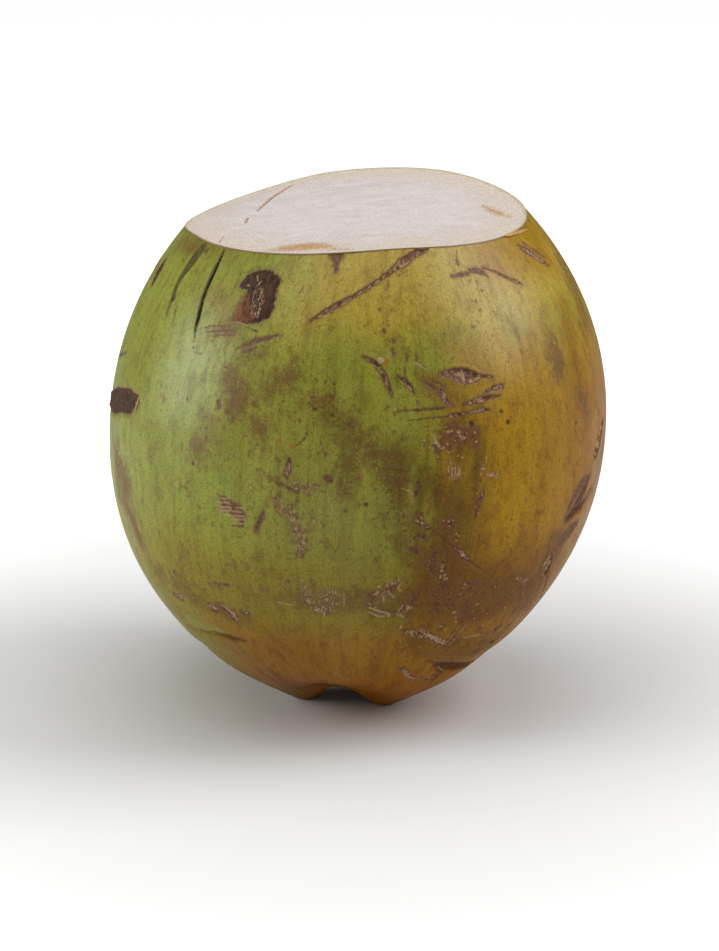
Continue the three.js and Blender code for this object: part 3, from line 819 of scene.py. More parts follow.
# %% Places, fields and two helpers
share, azimuth = globe_angles()
places, from_rim = grown_places(share, azimuth)
for vert, place in zip(globe.verts, places):
    vert.co = place
globe.normal_update()
normals = np.array([vert.normal for vert in globe.verts])
fields = {kind: marks_field(places, strokes[kind]) for kind in strokes}
meridian = np.column_stack([np.sin(azimuth), -np.cos(azimuth)]) * HALF_WIDTH
fibres = np.column_stack([meridian, places[:, 2]])  # the place, without its nearness to the axis


def soft_step(distance, start, end):
    """0 before the start, 1 after the end and smooth between them."""
    step = np.clip((distance - start) / (end - start), 0, 1)
    return step * step * (3 - 2 * step)


def smooth_noise(spots, size):
    """Smooth noise between about -1 and 1, with lumps of the given size on each axis."""
    return np.array([noise.noise(Vector(spot)) for spot in spots / size])


# %% [markdown]
# Each kind of mark has a row for its bed: where on its field the bed starts and is full, how
# high it stands, and how much lumps of cork add. A gouge also throws up a lip beside it, and
# the skin sinks in round a scab.

# %% Skin relief
SKIN_INSET = 0.35 * MM  # the unevenness stays inside the solid model
SWELL_WIDTH, SWELL_LENGTH, SWELL = 22 * MM, 70 * MM, 0.3 * MM
GRAIN = 0.9 * MM  # size of the lumps in the bed of a mark
LUMP_REACH = 1 * MM  # and how far outside a mark they are worked out
FLAT_FADE = 4 * MM  # the relief dies out below this height, so that the toes stay flat
BEDS = [  # kind, start, full, height and lumps, in millimetres
    ("gouge", 0, 0.9, -0.85, -0.45),
    ("crack", 0, 0.5, -1.5, 0),
    ("scab", 0, 0.7, 0.15, 0.5),
    ("scar", -0.1, 0.6, -0.2, -0.3),
    ("flake", -0.2, 0.5, -0.12, -0.12),
    ("dot", -0.1, 0.5, -0.25, 0),
    ("pale", -0.2, 0.2, 0.08, 0),
    ("line", -0.2, 0.2, -0.12, 0),
    ("crease_and_shade", -1.2, 0.8, -0.4, 0),
]
EDGES = [("gouge", -0.35, 0.4, 0.09), ("scab", 0, 0.5, -0.25)]  # kind, crest, width, height

on_flank = from_rim >= 0
swell = smooth_noise(fibres, np.array([SWELL_WIDTH, SWELL_WIDTH, SWELL_LENGTH]))
relief = SWELL * swell - SKIN_INSET

in_marks = np.maximum.reduce([fields[kind] for kind in CRISP]) > -LUMP_REACH
rough = np.zeros(len(places))
rough[in_marks] = smooth_noise(places[in_marks], GRAIN)
for kind, start, full, height, lumps in BEDS:
    relief += MM * soft_step(fields[kind] / MM, start, full) * (height + lumps * rough)
for kind, crest, width, height in EDGES:
    relief += MM * height * np.exp(-(((fields[kind] / MM - crest) / width) ** 2))
relief = relief * np.clip(places[:, 2] / FLAT_FADE, 0, 1)

# %% [markdown]
# A machete leaves its own relief on the slice: long low waves along each stroke, and the skin
# stands a little proud of the wet fibres, because it is tougher.

# %% Slice relief
SKIN_LIP, LIP_START, LIP_END = 0.3 * MM, 0.3 * MM, 1.6 * MM
KNIFE_WAVES, WAVE_HEIGHT = np.array([60, 9, 60]) * MM, 0.2 * MM
NICK_DEPTH, NICK_START, NICK_FULL = 0.7 * MM, -0.1 * MM, 0.35 * MM
waves = smooth_noise(places, KNIFE_WAVES)
sunk = soft_step(-from_rim, LIP_START, LIP_END)
face_relief = -sunk * (SKIN_LIP + WAVE_HEIGHT * (1 + waves))
face_relief -= NICK_DEPTH * soft_step(fields["nick"], NICK_START, NICK_FULL)
relief = np.where(on_flank, relief, face_relief)

moved = places + normals * relief[:, None]
moved[:, 2] = np.clip(moved[:, 2], 0, None)
for vert, place in zip(globe.verts, moved):
    vert.co = place
print("relief from", round(relief.min() / MM, 2), "to", round(relief.max() / MM, 2), "mm")

# %% [markdown]
# ## The husk as one piece
# The slice gets its own material slot, and the edge of the rim is sharp. The fields become
# attributes of the mesh, in millimetres, for the materials to read.

# %% Make the piece
SKIN_SLOT, CUT_SLOT = 0, 1
globe.verts.index_update()
for face in globe.faces:
    face.smooth = True
    inside = sum(from_rim[vert.index] for vert in face.verts) < 0
    face.material_index = CUT_SLOT if inside else SKIN_SLOT
for edge in globe.edges:
    if len({face.material_index for face in edge.link_faces}) > 1:
        edge.smooth = False
bmesh.ops.triangulate(globe, faces=[face for face in globe.faces if len(face.verts) > 4])


def place_mesh(name, form):
    """A new object whose mesh is a bmesh that has been shaped."""
    mesh = bpy.data.meshes.new(name)
    form.to_mesh(mesh)
    form.free()
    return place_object(name, mesh)


husk = place_mesh("husk", globe)
husk_mesh = husk.data


def store(name, values, kind="FLOAT", member="value"):
    """Values of the vertices as an attribute of the husk's mesh."""
    layer = husk_mesh.attributes.new(name, kind, "POINT")
    layer.data.foreach_set(member, np.asarray(values, np.float32).ravel())


RUSSET_MOST = 1.0 * MM  # the middle of a wide russet area is no denser than this
fields["russet"] = np.minimum(fields["russet"], RUSSET_MOST)
for kind, field in fields.items():
    store(kind, field / MM)
store("from_rim", from_rim / MM)
store("fibres", fibres / MM, "FLOAT_VECTOR", "vector")
triangles = sum(len(face.vertices) - 2 for face in husk_mesh.polygons)
print("husk:", triangles, "triangles")

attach(husk, "root")
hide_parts("coconut")

# %% [markdown]
# ## Colours and nodes
# Colours are written as sRGB hex codes and turned to the linear values that Blender mixes.

# %% Helpers for colours and nodes
def srgb(code):
    """An sRGB hex colour as linear red, green, blue and alpha."""
    parts = [int(code[i:i + 2], 16) / 255 for i in (1, 3, 5)]
    return [(c / 12.92 if c <= 0.04045 else ((c + 0.055) / 1.055) ** 2.4) for c in parts] + [1]


def add(tree, kind, inputs=None, **settings):
    """A new node with its settings, and its sockets linked or set."""
    node = tree.nodes.new(kind)
    for name, value in settings.items():
        setattr(node, name, value)
    for socket, value in (inputs or {}).items():
        if isinstance(value, bpy.types.NodeSocket):
            tree.links.new(value, node.inputs[socket])
        else:
            node.inputs[socket].default_value = value
    return node


def new_material(name):
    """An empty material and its node tree."""
    material = bpy.data.materials.new(name)
    material.use_nodes = True
    material.node_tree.nodes.clear()
    return material, material.node_tree


# %% [markdown]
# ## The skin's ground colour
# A coconut ripens unevenly. The side that saw the sun has turned ochre, the shoulder is golden
# and the stem end brown. These areas are broad and soft, so they are laid on as a painter
# lays washes, one over the other. Each is a window of azimuths and heights on the fruit, and
# noise that runs with the fibres frays its borders.

# %% Wide washes
GREEN = "#8f9734"
WIDE_WASHES = [
    # colour, strength, azimuths and their softness in degrees, heights and theirs in mm
    ("#98963a", 0.9, (-24, 14, 7), (58, 130, 12)),  # paler green in the middle
    ("#93890f", 0.9, (-180, 180, 1), (-20, 74, 14)),  # olive below
    ("#b49c38", 0.92, (-19, 142, 11), (138, 200, 9)),  # golden shoulder
    ("#a57f06", 0.9, (34, 158, 10), (152, 200, 5)),  # deeper towards the slice
    ("#a87b02", 0.97, (19, 152, 8), (-20, 126, 9)),  # ochre side
    ("#a98325", 0.8, (20, 136, 8), (116, 138, 8)),
    ("#86680c", 0.85, (18, 31, 6), (44, 116, 12)),  # brown band along the ridge
    ("#b2890c", 0.8, (33, 43, 6), (62, 132, 12)),  # light band beside it
    ("#966004", 0.85, (60, 128, 12), (30, 114, 16)),  # amber
    ("#825206", 0.8, (14, 60, 8), (36, 70, 10)),
    ("#8a6410", 0.45, (-48, 40, 10), (-20, 66, 10)),
    ("#9a6c04", 0.9, (-46, 150, 9), (-20, 42, 8)),  # brown stem end
    ("#8f7f22", 0.8, (150, 310, 10), (-20, 34, 9)),
    ("#a5660a", 0.9, (-52, 210, 12), (-20, 21, 9)),
    ("#86641a", 0.8, (210, 308, 12), (-20, 16, 8)),
]


def window(values, bounds, noise_shift=0, turn=None):
    """1 between two bounds and 0 beyond them, with soft borders that noise can shift."""
    start, end, softness = bounds
    away = values - (start + end) / 2
    if turn:
        away = (away + turn / 2) % turn - turn / 2
    inside = (end - start) / 2 - abs(away) + noise_shift
    return soft_step(inside, -softness, softness)


def area(sides, heights, side_noise=0, height_noise=0):
    """A window of azimuths in degrees times one of heights in millimetres."""
    across = window(np.degrees(azimuth), sides, side_noise, turn=360)
    return across * window(places[:, 2] / MM, heights, height_noise)


# %% [markdown]
# Smaller areas of colour are strokes again, but very soft ones. Four of them paint light as
# well: painted highlights on the right shoulder, along the top of the left fold of the collar
# and in a green band low in the middle, and painted shade in the notch between the front toes.

# %% Small washes
SMALL_WASHES = [  # colour, strength, softness in millimetres, path
    ("#8e6609", 0.7, 4.5, [(565, 305, 3), (571, 330, 4), (575, 365, 3), (578, 395, 3)]),
    ("#c29d38", 0.7, 2.0, [(546, 249, 0.8), (561, 276, 1.2)]),
    # a paler green band low in the middle, which also carries a painted highlight
    ("#a9a836", 0.75, 4.0, [(366, 470, 1.5), (360, 510, 2.5), (357, 545, 2.0)]),
    ("#a4a233", 0.7, 4.0, [(372, 368, 1.5), (377, 400, 2.5), (374, 430, 1.5)]),
    # a painted highlight: pale gold where the right soft box's highlight falls on the shoulder
    ("#c0a045", 0.8, 6.0, [(484, 322, 4), (496, 345, 4), (508, 365, 3)]),
    ("#aa7d2a", 0.7, 2.5, [(448, 458, 1.5), (455, 474, 2.5)]),
    ("#7e7213", 0.7, 3.0, [(393, 446, 3), (396, 474, 3), (398, 500, 2)]),
    ("#807008", 0.5, 3.5, [(112, 440, 2), (120, 480, 3), (131, 520, 3), (146, 556, 2)]),
    ("#858030", 0.8, 3.5, [(196, 244, 4), (210, 240, 5), (232, 256, 4)]),
    ("#8e7b10", 0.7, 4.0, [(234, 380, 4), (236, 400, 4)]),
    ("#857411", 0.6, 4.0, [(206, 418, 4), (212, 438, 3)]),
    ("#7e4c04", 0.7, 4.0, [(452, 548, 3), (458, 572, 4), (452, 596, 3)]),
    ("#7c6a14", 0.6, 2.0, [(414, 438, 0.6), (418, 480, 1.2), (416, 520, 0.6)]),
    ("#8a7418", 0.6, 2.0, [(452, 440, 0.6), (455, 490, 1.0), (450, 540, 0.8)]),
    ("#7a4c14", 0.6, 7.0, [(424, 530, 1), (424, 560, 3), (418, 600, 3)]),
    ("#8f7434", 0.5, 3.0, [(552, 335, 2), (557, 358, 4), (557, 374, 2)]),
    *[("#5f4c0e", 0.7, 1.0, [(x, top, 0.3), (x - 2, (top + foot) / 2, 0.8), (x - 5, foot, 0.1)])
      for x, top, foot in [(403, 452, 520), (411, 428, 498), (421, 468, 560), (429, 436, 505),
                           (438, 450, 540), (447, 500, 585), (459, 452, 530), (470, 470, 560),
                           (479, 428, 515), (485, 440, 470), (465, 395, 440)]],
    ("#8a7020", 0.55, 4.0, [(212, 290, 3), (222, 306, 5), (230, 322, 4)]),
    ("#80581c", 0.6, 3.0, [(420, 376, 2), (436, 386, 4), (452, 394, 4)]),
    ("#a5803a", 0.5, 4.0, [(446, 350, 3), (470, 356, 4), (492, 352, 3)]),
    # a painted highlight: a pale band along the top edge of the left fold of the collar
    ("#9aa04a", 0.7, 2.0, [(176, 612, 1.0), (190, 620, 1.4), (206, 628, 1.4), (222, 632, 0.8)]),
    ("#8d7a1c", 0.7, 2.5, [(196, 636, 1.5), (214, 648, 2.0), (236, 662, 1.5)]),
    ("#9a5e04", 0.8, 3.0, [(246, 640, 1.0), (262, 644, 2.0), (280, 652, 1.5)]),
    ("#a1762c", 0.6, 2.5, [(424, 652, 1.5), (446, 657, 1.5), (468, 655, 1.0)]),
    # darker brown over the notch between the front toes: the stem end's brown, and painted shade
    # in the notch
    ("#85520c", 0.8, 3.5, [(276, 676, 2), (300, 688, 3), (330, 690, 4), (356, 688, 2)]),
]

print(len(WIDE_WASHES), "wide washes and", len(SMALL_WASHES), "small ones")

# %% [markdown]
# Three noises fray the borders: one as wide as a bundle of fibres, a finer one, and a slow one
# for the heights. The washes are mixed per vertex and stored as one colour, which costs the
# material nothing.

# %% Lay the washes
SIDE_FRAY, HEIGHT_FRAY = 4.5, 4  # degrees and millimetres
STROKE_FRAY = 0.3  # as a share of a small wash's softness
fray = smooth_noise(fibres, np.array([7, 7, 60]) * MM)
fray += 0.5 * smooth_noise(fibres, np.array([2.2, 2.2, 30]) * MM)
drift = smooth_noise(fibres, np.array([16, 16, 24]) * MM)
ground = np.tile(srgb(GREEN)[:3], (len(places), 1))


def lay(colour, weight):
    """Mix a colour into the ground, with a weight for each vertex."""
    ground[:] += (np.array(srgb(colour)[:3]) - ground) * weight[:, None]


blur = 2 - np.cos(azimuth)  # the borders are softer towards the back
for colour, strength, (first, last, softness), heights in WIDE_WASHES:
    sides = (first, last, softness * blur)
    lay(colour, strength * area(sides, heights, SIDE_FRAY * blur**2 * fray, HEIGHT_FRAY * drift))
for colour, strength, softness, path in SMALL_WASHES:
    field = stroke_field(places, pinned(path)) / MM + STROKE_FRAY * softness * fray
    lay(colour, strength * soft_step(field, -softness, softness))
# the stored ground colour also holds the painted highlights and painted shade of the small washes
store("ground", np.column_stack([ground, np.ones(len(ground))]), "FLOAT_COLOR", "color")
print("ground colour: from", ground.min(axis=0).round(3), "to", ground.max(axis=0).round(3))

# %% [markdown]
# The coat of wax is thin at the stem end and thicker up the flanks, and the side that the sun
# has browned has lost some of it. So the amount of gloss is laid on in the same way.

# %% Wax
FOOT_WAX, FLANK_WAX = 0.15, 0.50  # specular levels
WAX_START, WAX_FULL = 8, 75  # heights in millimetres
LOST_WAX = [  # share lost, azimuths and their softness, heights and theirs
    (0.55, (6, 150, 10), (-20, 108, 14)),
    (0.50, (64, 150, 12), (-20, 400, 1)),
]
lost = np.maximum.reduce([share * area(sides, heights) for share, sides, heights in LOST_WAX])
wax = FOOT_WAX + (FLANK_WAX - FOOT_WAX) * soft_step(places[:, 2] / MM, WAX_START, WAX_FULL)
store("wax", wax * (1 - lost))
print("specular level: from", round((wax * (1 - lost)).min(), 2), "to",
      round((wax * (1 - lost)).max(), 2))

# %% [markdown]
# ## The waxy skin
# The skin of a young coconut is a smooth cuticle with a thin coat of wax, so it has a broad
# and quiet gloss. Under it, vascular fibres run from the stem to the crown and show as faint
# streaks. Every pattern is noise in a space whose axes are unrolled round the fruit, in
# millimetres, so its size across and along the fibres can be stated.

# %% Patterns in the skin
PATTERNS = {  # millimetres across the fibres, on two axes, and along them, and detail
    "thread": (0.45, 0.45, 9, 2), "streak": (2.4, 2.4, 70, 2), "grit": (0.8, 0.8, 0.9, 3),
    "crumb": (1.6, 1.6, 2, 3), "blotch": (4, 4, 6, 3), "patch": (15, 15, 26, 2),
    "fine": (0.4, 0.4, 0.5, 2),
}


def noise_patterns(tree, space, sizes):
    """Noise at several sizes, which are given along x, y and z in the units of the space."""
    made = {}
    for name, (*lengths, detail) in sizes.items():
        scaled = add(tree, "ShaderNodeMapping", {
            "Vector": space, "Scale": [1 / length for length in lengths]})
        made[name] = add(tree, "ShaderNodeTexNoise", {
            "Vector": scaled.outputs[0], "Scale": 1, "Detail": detail}).outputs["Fac"]
    return made


skin, tree = new_material("waxy_green_skin")
fibre_space = add(tree, "ShaderNodeAttribute", attribute_name="fibres").outputs["Vector"]
pattern = noise_patterns(tree, fibre_space, PATTERNS)
print("patterns in the skin:", ", ".join(pattern))

# %% [markdown]
# Each tint multiplies the ground colour where its pattern is high. Streaks and threads are the
# fibres, patches are slow changes of hue, and grit is the fine brown russet of the wax. Over
# them comes a speckle finer than half a millimetre, and pores: about one cell in five of a
# grid 2.6 mm wide holds a brown point.

# %% Tints over the ground
TINTS = [  # pattern, where it starts and is full, strength, tint
    ("patch", 0.42, 0.66, 0.50, "#e6dcc0"),
    ("streak", 0.45, 0.68, 0.32, "#d6cba6"),
    ("thread", 0.46, 0.70, 0.28, "#cfc29a"),
    ("blotch", 0.48, 0.70, 0.50, "#d2b68e"),
    ("crumb", 0.54, 0.70, 0.45, "#c8a884"),
    ("grit", 0.56, 0.68, 0.50, "#b08a66"),
]
colour = add(tree, "ShaderNodeAttribute", attribute_name="ground").outputs["Color"]
for name, start, full, strength, tint in TINTS:
    amount = add(tree, "ShaderNodeMapRange", {0: pattern[name], 1: start, 2: full, 3: 0,
                                              4: strength}, interpolation_type="SMOOTHSTEP")
    colour = add(tree, "ShaderNodeMix", {0: amount.outputs[0], 6: colour, 7: srgb(tint)},
                 data_type="RGBA", blend_type="MULTIPLY").outputs[2]

print(len(TINTS), "tints")

# %% Speckle and pores
BRIGHTEST, DARKEST = 1.24, 0.80  # of the speckle
PORE_SPACING, PORE_BROWN, PORE_STRENGTH = 2.6, "#5b431c", 0.45  # millimetres for the first
PORE_CORE, PORE_EDGE = 0.07, 0.13  # radii, as shares of the spacing
FIRST_CHOSEN, LAST_CHOSEN = 0.72, 0.90  # a cell's random value, where pores start and are full
speckle = add(tree, "ShaderNodeMapRange", {0: pattern["fine"], 1: 0.3, 2: 0.7, 3: BRIGHTEST,
                                           4: DARKEST})
colour = add(tree, "ShaderNodeVectorMath", {0: colour, "Scale": speckle.outputs[0]},
             operation="SCALE").outputs[0]
pores = add(tree, "ShaderNodeTexVoronoi", {"Vector": fibre_space, "Scale": 1 / PORE_SPACING})
small = add(tree, "ShaderNodeMapRange", {0: pores.outputs["Distance"], 1: PORE_CORE, 2: PORE_EDGE,
                                         3: 1, 4: 0}, interpolation_type="SMOOTHSTEP")
chosen = add(tree, "ShaderNodeSeparateColor", {0: pores.outputs["Color"]})
shown = add(tree, "ShaderNodeMapRange", {0: chosen.outputs[0], 1: FIRST_CHOSEN, 2: LAST_CHOSEN,
                                         3: 0, 4: PORE_STRENGTH})
speck = add(tree, "ShaderNodeMath", {0: small.outputs[0], 1: shown.outputs[0]},
            operation="MULTIPLY")
colour = add(tree, "ShaderNodeMix", {0: speck.outputs[0], 6: colour, 7: srgb(PORE_BROWN)},
             data_type="RGBA").outputs[2]

# %% [markdown]
# ### The marks in the skin
# Each layer reads one field, and noise makes its border ragged. The border is where the field
# passes from its start to its full value, in millimetres. Two colours take turns inside the
# layer, by a second pattern. Dead skin and bare fibre scatter light, so a mark is also rougher
# than the wax.

# %% Layers of marks
LAYERS = [
    # field, start, full, ragged by, on pattern, colours, which alternate on, strength, roughness
    ("russet", -5.0, 3.5, 18.0, "crumb", "#5a3c0c", "#80601c", "grit", 0.40, 0.45),
    ("russet", -3.0, 2.0, 16.0, "blotch", "#5c3810", "#75501c", "crumb", 0.20, 0.48),
    ("russet", 0.4, 2.4, 15.0, "grit", "#56300f", "#774f26", "crumb", 0.58, 0.50),
    ("stain", -0.7, 0.5, 1.8, "streak", "#38370c", "#545214", "crumb", 0.92, 0.42),
    ("bruise", -0.8, 2.2, 9.0, "crumb", "#5e3a18", "#84602e", "grit", 0.62, 0.52),
    ("scratch", -0.8, 0.5, 4.0, "crumb", "#6c4630", "#875f44", "grit", 0.45, 0.70),
    ("amber", -0.6, 0.3, 3.0, "grit", "#a0561c", "#a9702c", "grit", 0.65, 0.50),
    ("fleck", -0.5, 0.5, 3.0, "grit", "#5e3420", "#7a4e34", "grit", 0.75, 0.60),
    ("dot", -0.5, 0.2, 1.0, "grit", "#2e1b0e", "#40280f", "grit", 0.88, 0.60),
    ("flake", -0.9, 0.2, 2.6, "crumb", "#6a4c24", "#7c5c34", "grit", 0.55, 0.50),
    ("flake", -0.35, 0.45, 1.6, "crumb", "#5c3822", "#7a5238", "grit", 0.88, 0.55),
    # painted shade: the dark brown of the creases stands for the shadow in the folds of the collar
    ("crease_and_shade", -1.0, 0.9, 2.5, "grit", "#3e1c0a", "#5a3214", "grit", 0.88, 0.60),
    ("line", -0.25, 0.08, 1.0, "grit", "#54331a", "#6a4420", "grit", 0.75, 0.55),
    ("scar", -1.2, 0.0, 2.4, "crumb", "#6c5020", "#7c5a2a", "grit", 0.45, 0.50),
    ("scar", -0.3, 0.15, 1.4, "crumb", "#5b3626", "#774c38", "grit", 0.90, 0.70),
    ("scar", 0.2, 0.6, 2.2, "grit", "#94705a", "#b4927a", "crumb", 0.75, 0.80),
    ("gouge", -1.1, -0.1, 2.0, "crumb", "#75521c", "#6e4c1c", "grit", 0.42, 0.50),
    ("gouge", -0.2, 0.08, 1.1, "crumb", "#58341f", "#704632", "grit", 0.90, 0.75),
    ("gouge", 0.15, 0.5, 1.4, "crumb", "#7c5642", "#b3946e", "crumb", 0.92, 0.85),
    ("scab", -1.6, 0.2, 4.5, "crumb", "#6a4a30", "#7c5a40", "grit", 0.60, 0.55),
    ("scab", -0.2, 0.4, 3.2, "crumb", "#341b0c", "#4e2d18", "crumb", 0.96, 0.75),
    ("rust", -1.2, 1.2, 3.6, "crumb", "#6c3810", "#86501e", "crumb", 0.75, 0.65),
    ("crack", -0.6, 0.0, 1.0, "grit", "#5b5a14", "#4e4a12", "grit", 0.55, 0.50),
    ("crack", -0.12, 0.15, 0.7, "grit", "#1c2016", "#2c2818", "grit", 0.95, 0.80),
    ("pale", -0.2, 0.12, 0.8, "grit", "#c3a67a", "#a2835c", "grit", 0.78, 0.75),
]


def ragged_mask(tree, name, start, full, ragged, rag, strength):
    """0 outside a field's border, which noise makes ragged, and the strength inside it."""
    field = add(tree, "ShaderNodeAttribute", attribute_name=name).outputs["Fac"]
    frayed = add(tree, "ShaderNodeMath", {0: rag, 1: ragged, 2: field},
                 operation="MULTIPLY_ADD")
    return add(tree, "ShaderNodeMapRange", {0: frayed.outputs[0], 1: start + ragged / 2,
                                            2: full + ragged / 2, 3: 0, 4: strength},
               interpolation_type="SMOOTHSTEP").outputs[0]


# %% Lay the marks over the tints
SMOOTHEST_WAX, DULLEST_WAX = 0.33, 0.43  # roughness of the wax
BROKEN_FROM = 0.75  # a layer this rough is broken skin, so it also gets coarse bump
roughness = add(tree, "ShaderNodeMapRange", {0: pattern["blotch"], 1: 0.3, 2: 0.7,
                                             3: SMOOTHEST_WAX, 4: DULLEST_WAX}).outputs[0]
broken = None
for name, start, full, ragged, rag, first, second, turns, strength, coarse in LAYERS:
    mask = ragged_mask(tree, name, start, full, ragged, pattern[rag], strength)
    share_of_second = add(tree, "ShaderNodeMapRange", {0: pattern[turns], 1: 0.45, 2: 0.57})
    inside = add(tree, "ShaderNodeMix", {0: share_of_second.outputs[0], 6: srgb(first),
                                         7: srgb(second)}, data_type="RGBA").outputs[2]
    colour = add(tree, "ShaderNodeMix", {0: mask, 6: colour, 7: inside},
                 data_type="RGBA").outputs[2]
    roughness = add(tree, "ShaderNodeMix", {0: mask, 2: roughness, 3: coarse}).outputs[0]
    if coarse >= BROKEN_FROM:
        broken = mask if broken is None else add(
            tree, "ShaderNodeMath", {0: broken, 1: mask}, operation="MAXIMUM").outputs[0]
print(len(LAYERS), "layers of marks")

# %% [markdown]
# Along the rim the cut edge of the skin has dried to a brown line, a few tenths of a
# millimetre wide.

# %% Dried rim
RIM_BROWN, RIM_STRENGTH = "#664218", 0.65
rim = add(tree, "ShaderNodeAttribute", attribute_name="from_rim").outputs["Fac"]
frayed = add(tree, "ShaderNodeMath", {0: pattern["crumb"], 1: -0.7, 2: rim},
             operation="MULTIPLY_ADD")
dried = add(tree, "ShaderNodeMapRange", {0: frayed.outputs[0], 1: -0.2, 2: 0.1,
                                         3: RIM_STRENGTH, 4: 0},
            interpolation_type="SMOOTHSTEP")
colour = add(tree, "ShaderNodeMix", {0: dried.outputs[0], 6: colour, 7: srgb(RIM_BROWN)},
             data_type="RGBA").outputs[2]

# %% [markdown]
# In a rubbed place the fibres' pale ends stand out as separate threads. They are wider here
# than in life, where they are about 0.1 mm, so that they show. The noise is turned a little,
# so that the threads don't all lie along one meridian.

# %% Pale threads
TUFT_WIDTH, TUFT_LENGTH, TUFT_TURN = 0.6, 1.1, (0, 0.3, 0.2)  # millimetres, and radians
THREAD_PALE, THREAD_STRENGTH = "#bc9e7a", 0.78
rubbed = add(tree, "ShaderNodeAttribute", attribute_name="scratch").outputs["Fac"]
inner = add(tree, "ShaderNodeMapRange", {0: rubbed, 1: -0.4, 2: 0.6},
            interpolation_type="SMOOTHSTEP")
short = add(tree, "ShaderNodeMapping", {
    "Vector": fibre_space, "Rotation": TUFT_TURN,
    "Scale": (1 / TUFT_WIDTH, 1 / TUFT_WIDTH, 1 / TUFT_LENGTH)})
tufts = add(tree, "ShaderNodeTexNoise", {"Vector": short.outputs[0], "Scale": 1, "Detail": 3,
                                         "Distortion": 0.5})
raised = add(tree, "ShaderNodeMapRange", {0: tufts.outputs["Fac"], 1: 0.54, 2: 0.62, 3: 0,
                                          4: THREAD_STRENGTH}, interpolation_type="SMOOTHSTEP")
threads = add(tree, "ShaderNodeMath", {0: inner.outputs[0], 1: raised.outputs[0]},
              operation="MULTIPLY").outputs[0]
colour = add(tree, "ShaderNodeMix", {0: threads, 6: colour, 7: srgb(THREAD_PALE)},
             data_type="RGBA").outputs[2]

# %% [markdown]
# ### The pit of the stem
# The stem has broken off and left brown cork in the pit. It is found by its place: low, and a
# short distance from the fruit's axis, with a border that noise makes ragged.

# %% Cork in the pit
CORK_START, CORK_FULL, CORK_FRAY = 12, 8, 9  # millimetres from the axis, and of ragged border
CORK_FLOOR, CORK_CEILING = 30 * MM, 50 * MM  # cork up to the first height and none at the second
CORK_DARK, CORK_PALE, CORK_ROUGHNESS = "#3f2a18", "#7a5a3a", 0.9
object_space = add(tree, "ShaderNodeTexCoord").outputs["Object"]
place = add(tree, "ShaderNodeSeparateXYZ", {0: object_space})
flat = add(tree, "ShaderNodeVectorMath", {0: object_space, 1: (1 / MM, 1 / MM, 0)},
           operation="MULTIPLY")
from_axis = add(tree, "ShaderNodeVectorMath", {0: flat.outputs[0]}, operation="LENGTH")
frayed = add(tree, "ShaderNodeMath", {0: pattern["blotch"], 1: -CORK_FRAY,
                                      2: from_axis.outputs["Value"]},
             operation="MULTIPLY_ADD")
near_axis = add(tree, "ShaderNodeMapRange", {0: frayed.outputs[0], 1: CORK_FULL, 2: CORK_START,
                                             3: 1, 4: 0})
low = add(tree, "ShaderNodeMapRange", {0: place.outputs["Z"], 1: CORK_FLOOR, 2: CORK_CEILING,
                                       3: 1, 4: 0})
corky = add(tree, "ShaderNodeMath", {0: near_axis.outputs[0], 1: low.outputs[0]},
            operation="MULTIPLY").outputs[0]
cork = add(tree, "ShaderNodeMix", {0: pattern["crumb"], 6: srgb(CORK_DARK),
                                   7: srgb(CORK_PALE)}, data_type="RGBA").outputs[2]
colour = add(tree, "ShaderNodeMix", {0: corky, 6: colour, 7: cork},
             data_type="RGBA").outputs[2]
roughness = add(tree, "ShaderNodeMix", {0: corky, 2: roughness, 3: CORK_ROUGHNESS}).outputs[0]
broken = add(tree, "ShaderNodeMath", {0: broken, 1: corky}, operation="MAXIMUM").outputs[0]

# %% [markdown]
# The finest relief is bump: threads and grit a few hundredths of a millimetre high in the wax,
# and a tenth or two where the skin is broken.

# %% Skin shader
FINE, COARSE = 0.035 * MM, 0.22 * MM
WAX_IOR = 1.41
VIEWER_LEVEL = 0.4  # for a viewer that takes one specular level for the whole husk
both = add(tree, "ShaderNodeMath", {0: pattern["thread"], 1: 0.6, 2: pattern["grit"]},
           operation="MULTIPLY_ADD")
fine = add(tree, "ShaderNodeBump", {"Height": both.outputs[0], "Distance": FINE})
height = add(tree, "ShaderNodeMath", {0: pattern["grit"], 1: broken}, operation="MULTIPLY")
coarse = add(tree, "ShaderNodeBump", {"Height": height.outputs[0], "Distance": COARSE,
                                      "Normal": fine.outputs[0]})
wax_level = add(tree, "ShaderNodeAttribute", attribute_name="wax").outputs["Fac"]
shader = add(tree, "ShaderNodeBsdfPrincipled", {
    "Base Color": colour, "Roughness": roughness, "IOR": WAX_IOR,
    "Specular IOR Level": wax_level, "Normal": coarse.outputs[0]})
shader.inputs["Specular IOR Level"].default_value = VIEWER_LEVEL
add(tree, "ShaderNodeOutputMaterial", {"Surface": shader.outputs[0]})
husk_mesh.materials.append(skin)  # SKIN_SLOT
print("skin:", len(tree.nodes), "nodes")

# %% [markdown]
# ## The sliced fibres
# The slice shows the husk's white inner tissue. Near the skin the blade cut across bundles of
# fibre, which show as cream dots. In the middle it ran along them, so that part is streaked
# and has a cool, damp white. Air turns the cut edge of the skin brown.

# %% Patterns in the slice
cut, tree = new_material("cut_husk_fibre")
rim = add(tree, "ShaderNodeAttribute", attribute_name="from_rim").outputs["Fac"]
object_space = add(tree, "ShaderNodeTexCoord").outputs["Object"]
CUT_PATTERNS = {  # lengths along x, y and z, and detail
    "streak": (12 * MM, 0.9 * MM, 0.9 * MM, 3), "thread": (4 * MM, 0.45 * MM, 0.45 * MM, 2),
    "grit": (0.7 * MM, 0.6 * MM, 0.6 * MM, 3), "blotch": (8 * MM, 5 * MM, 5 * MM, 4),
}
pattern = noise_patterns(tree, object_space, CUT_PATTERNS)
print("patterns in the slice:", ", ".join(pattern))

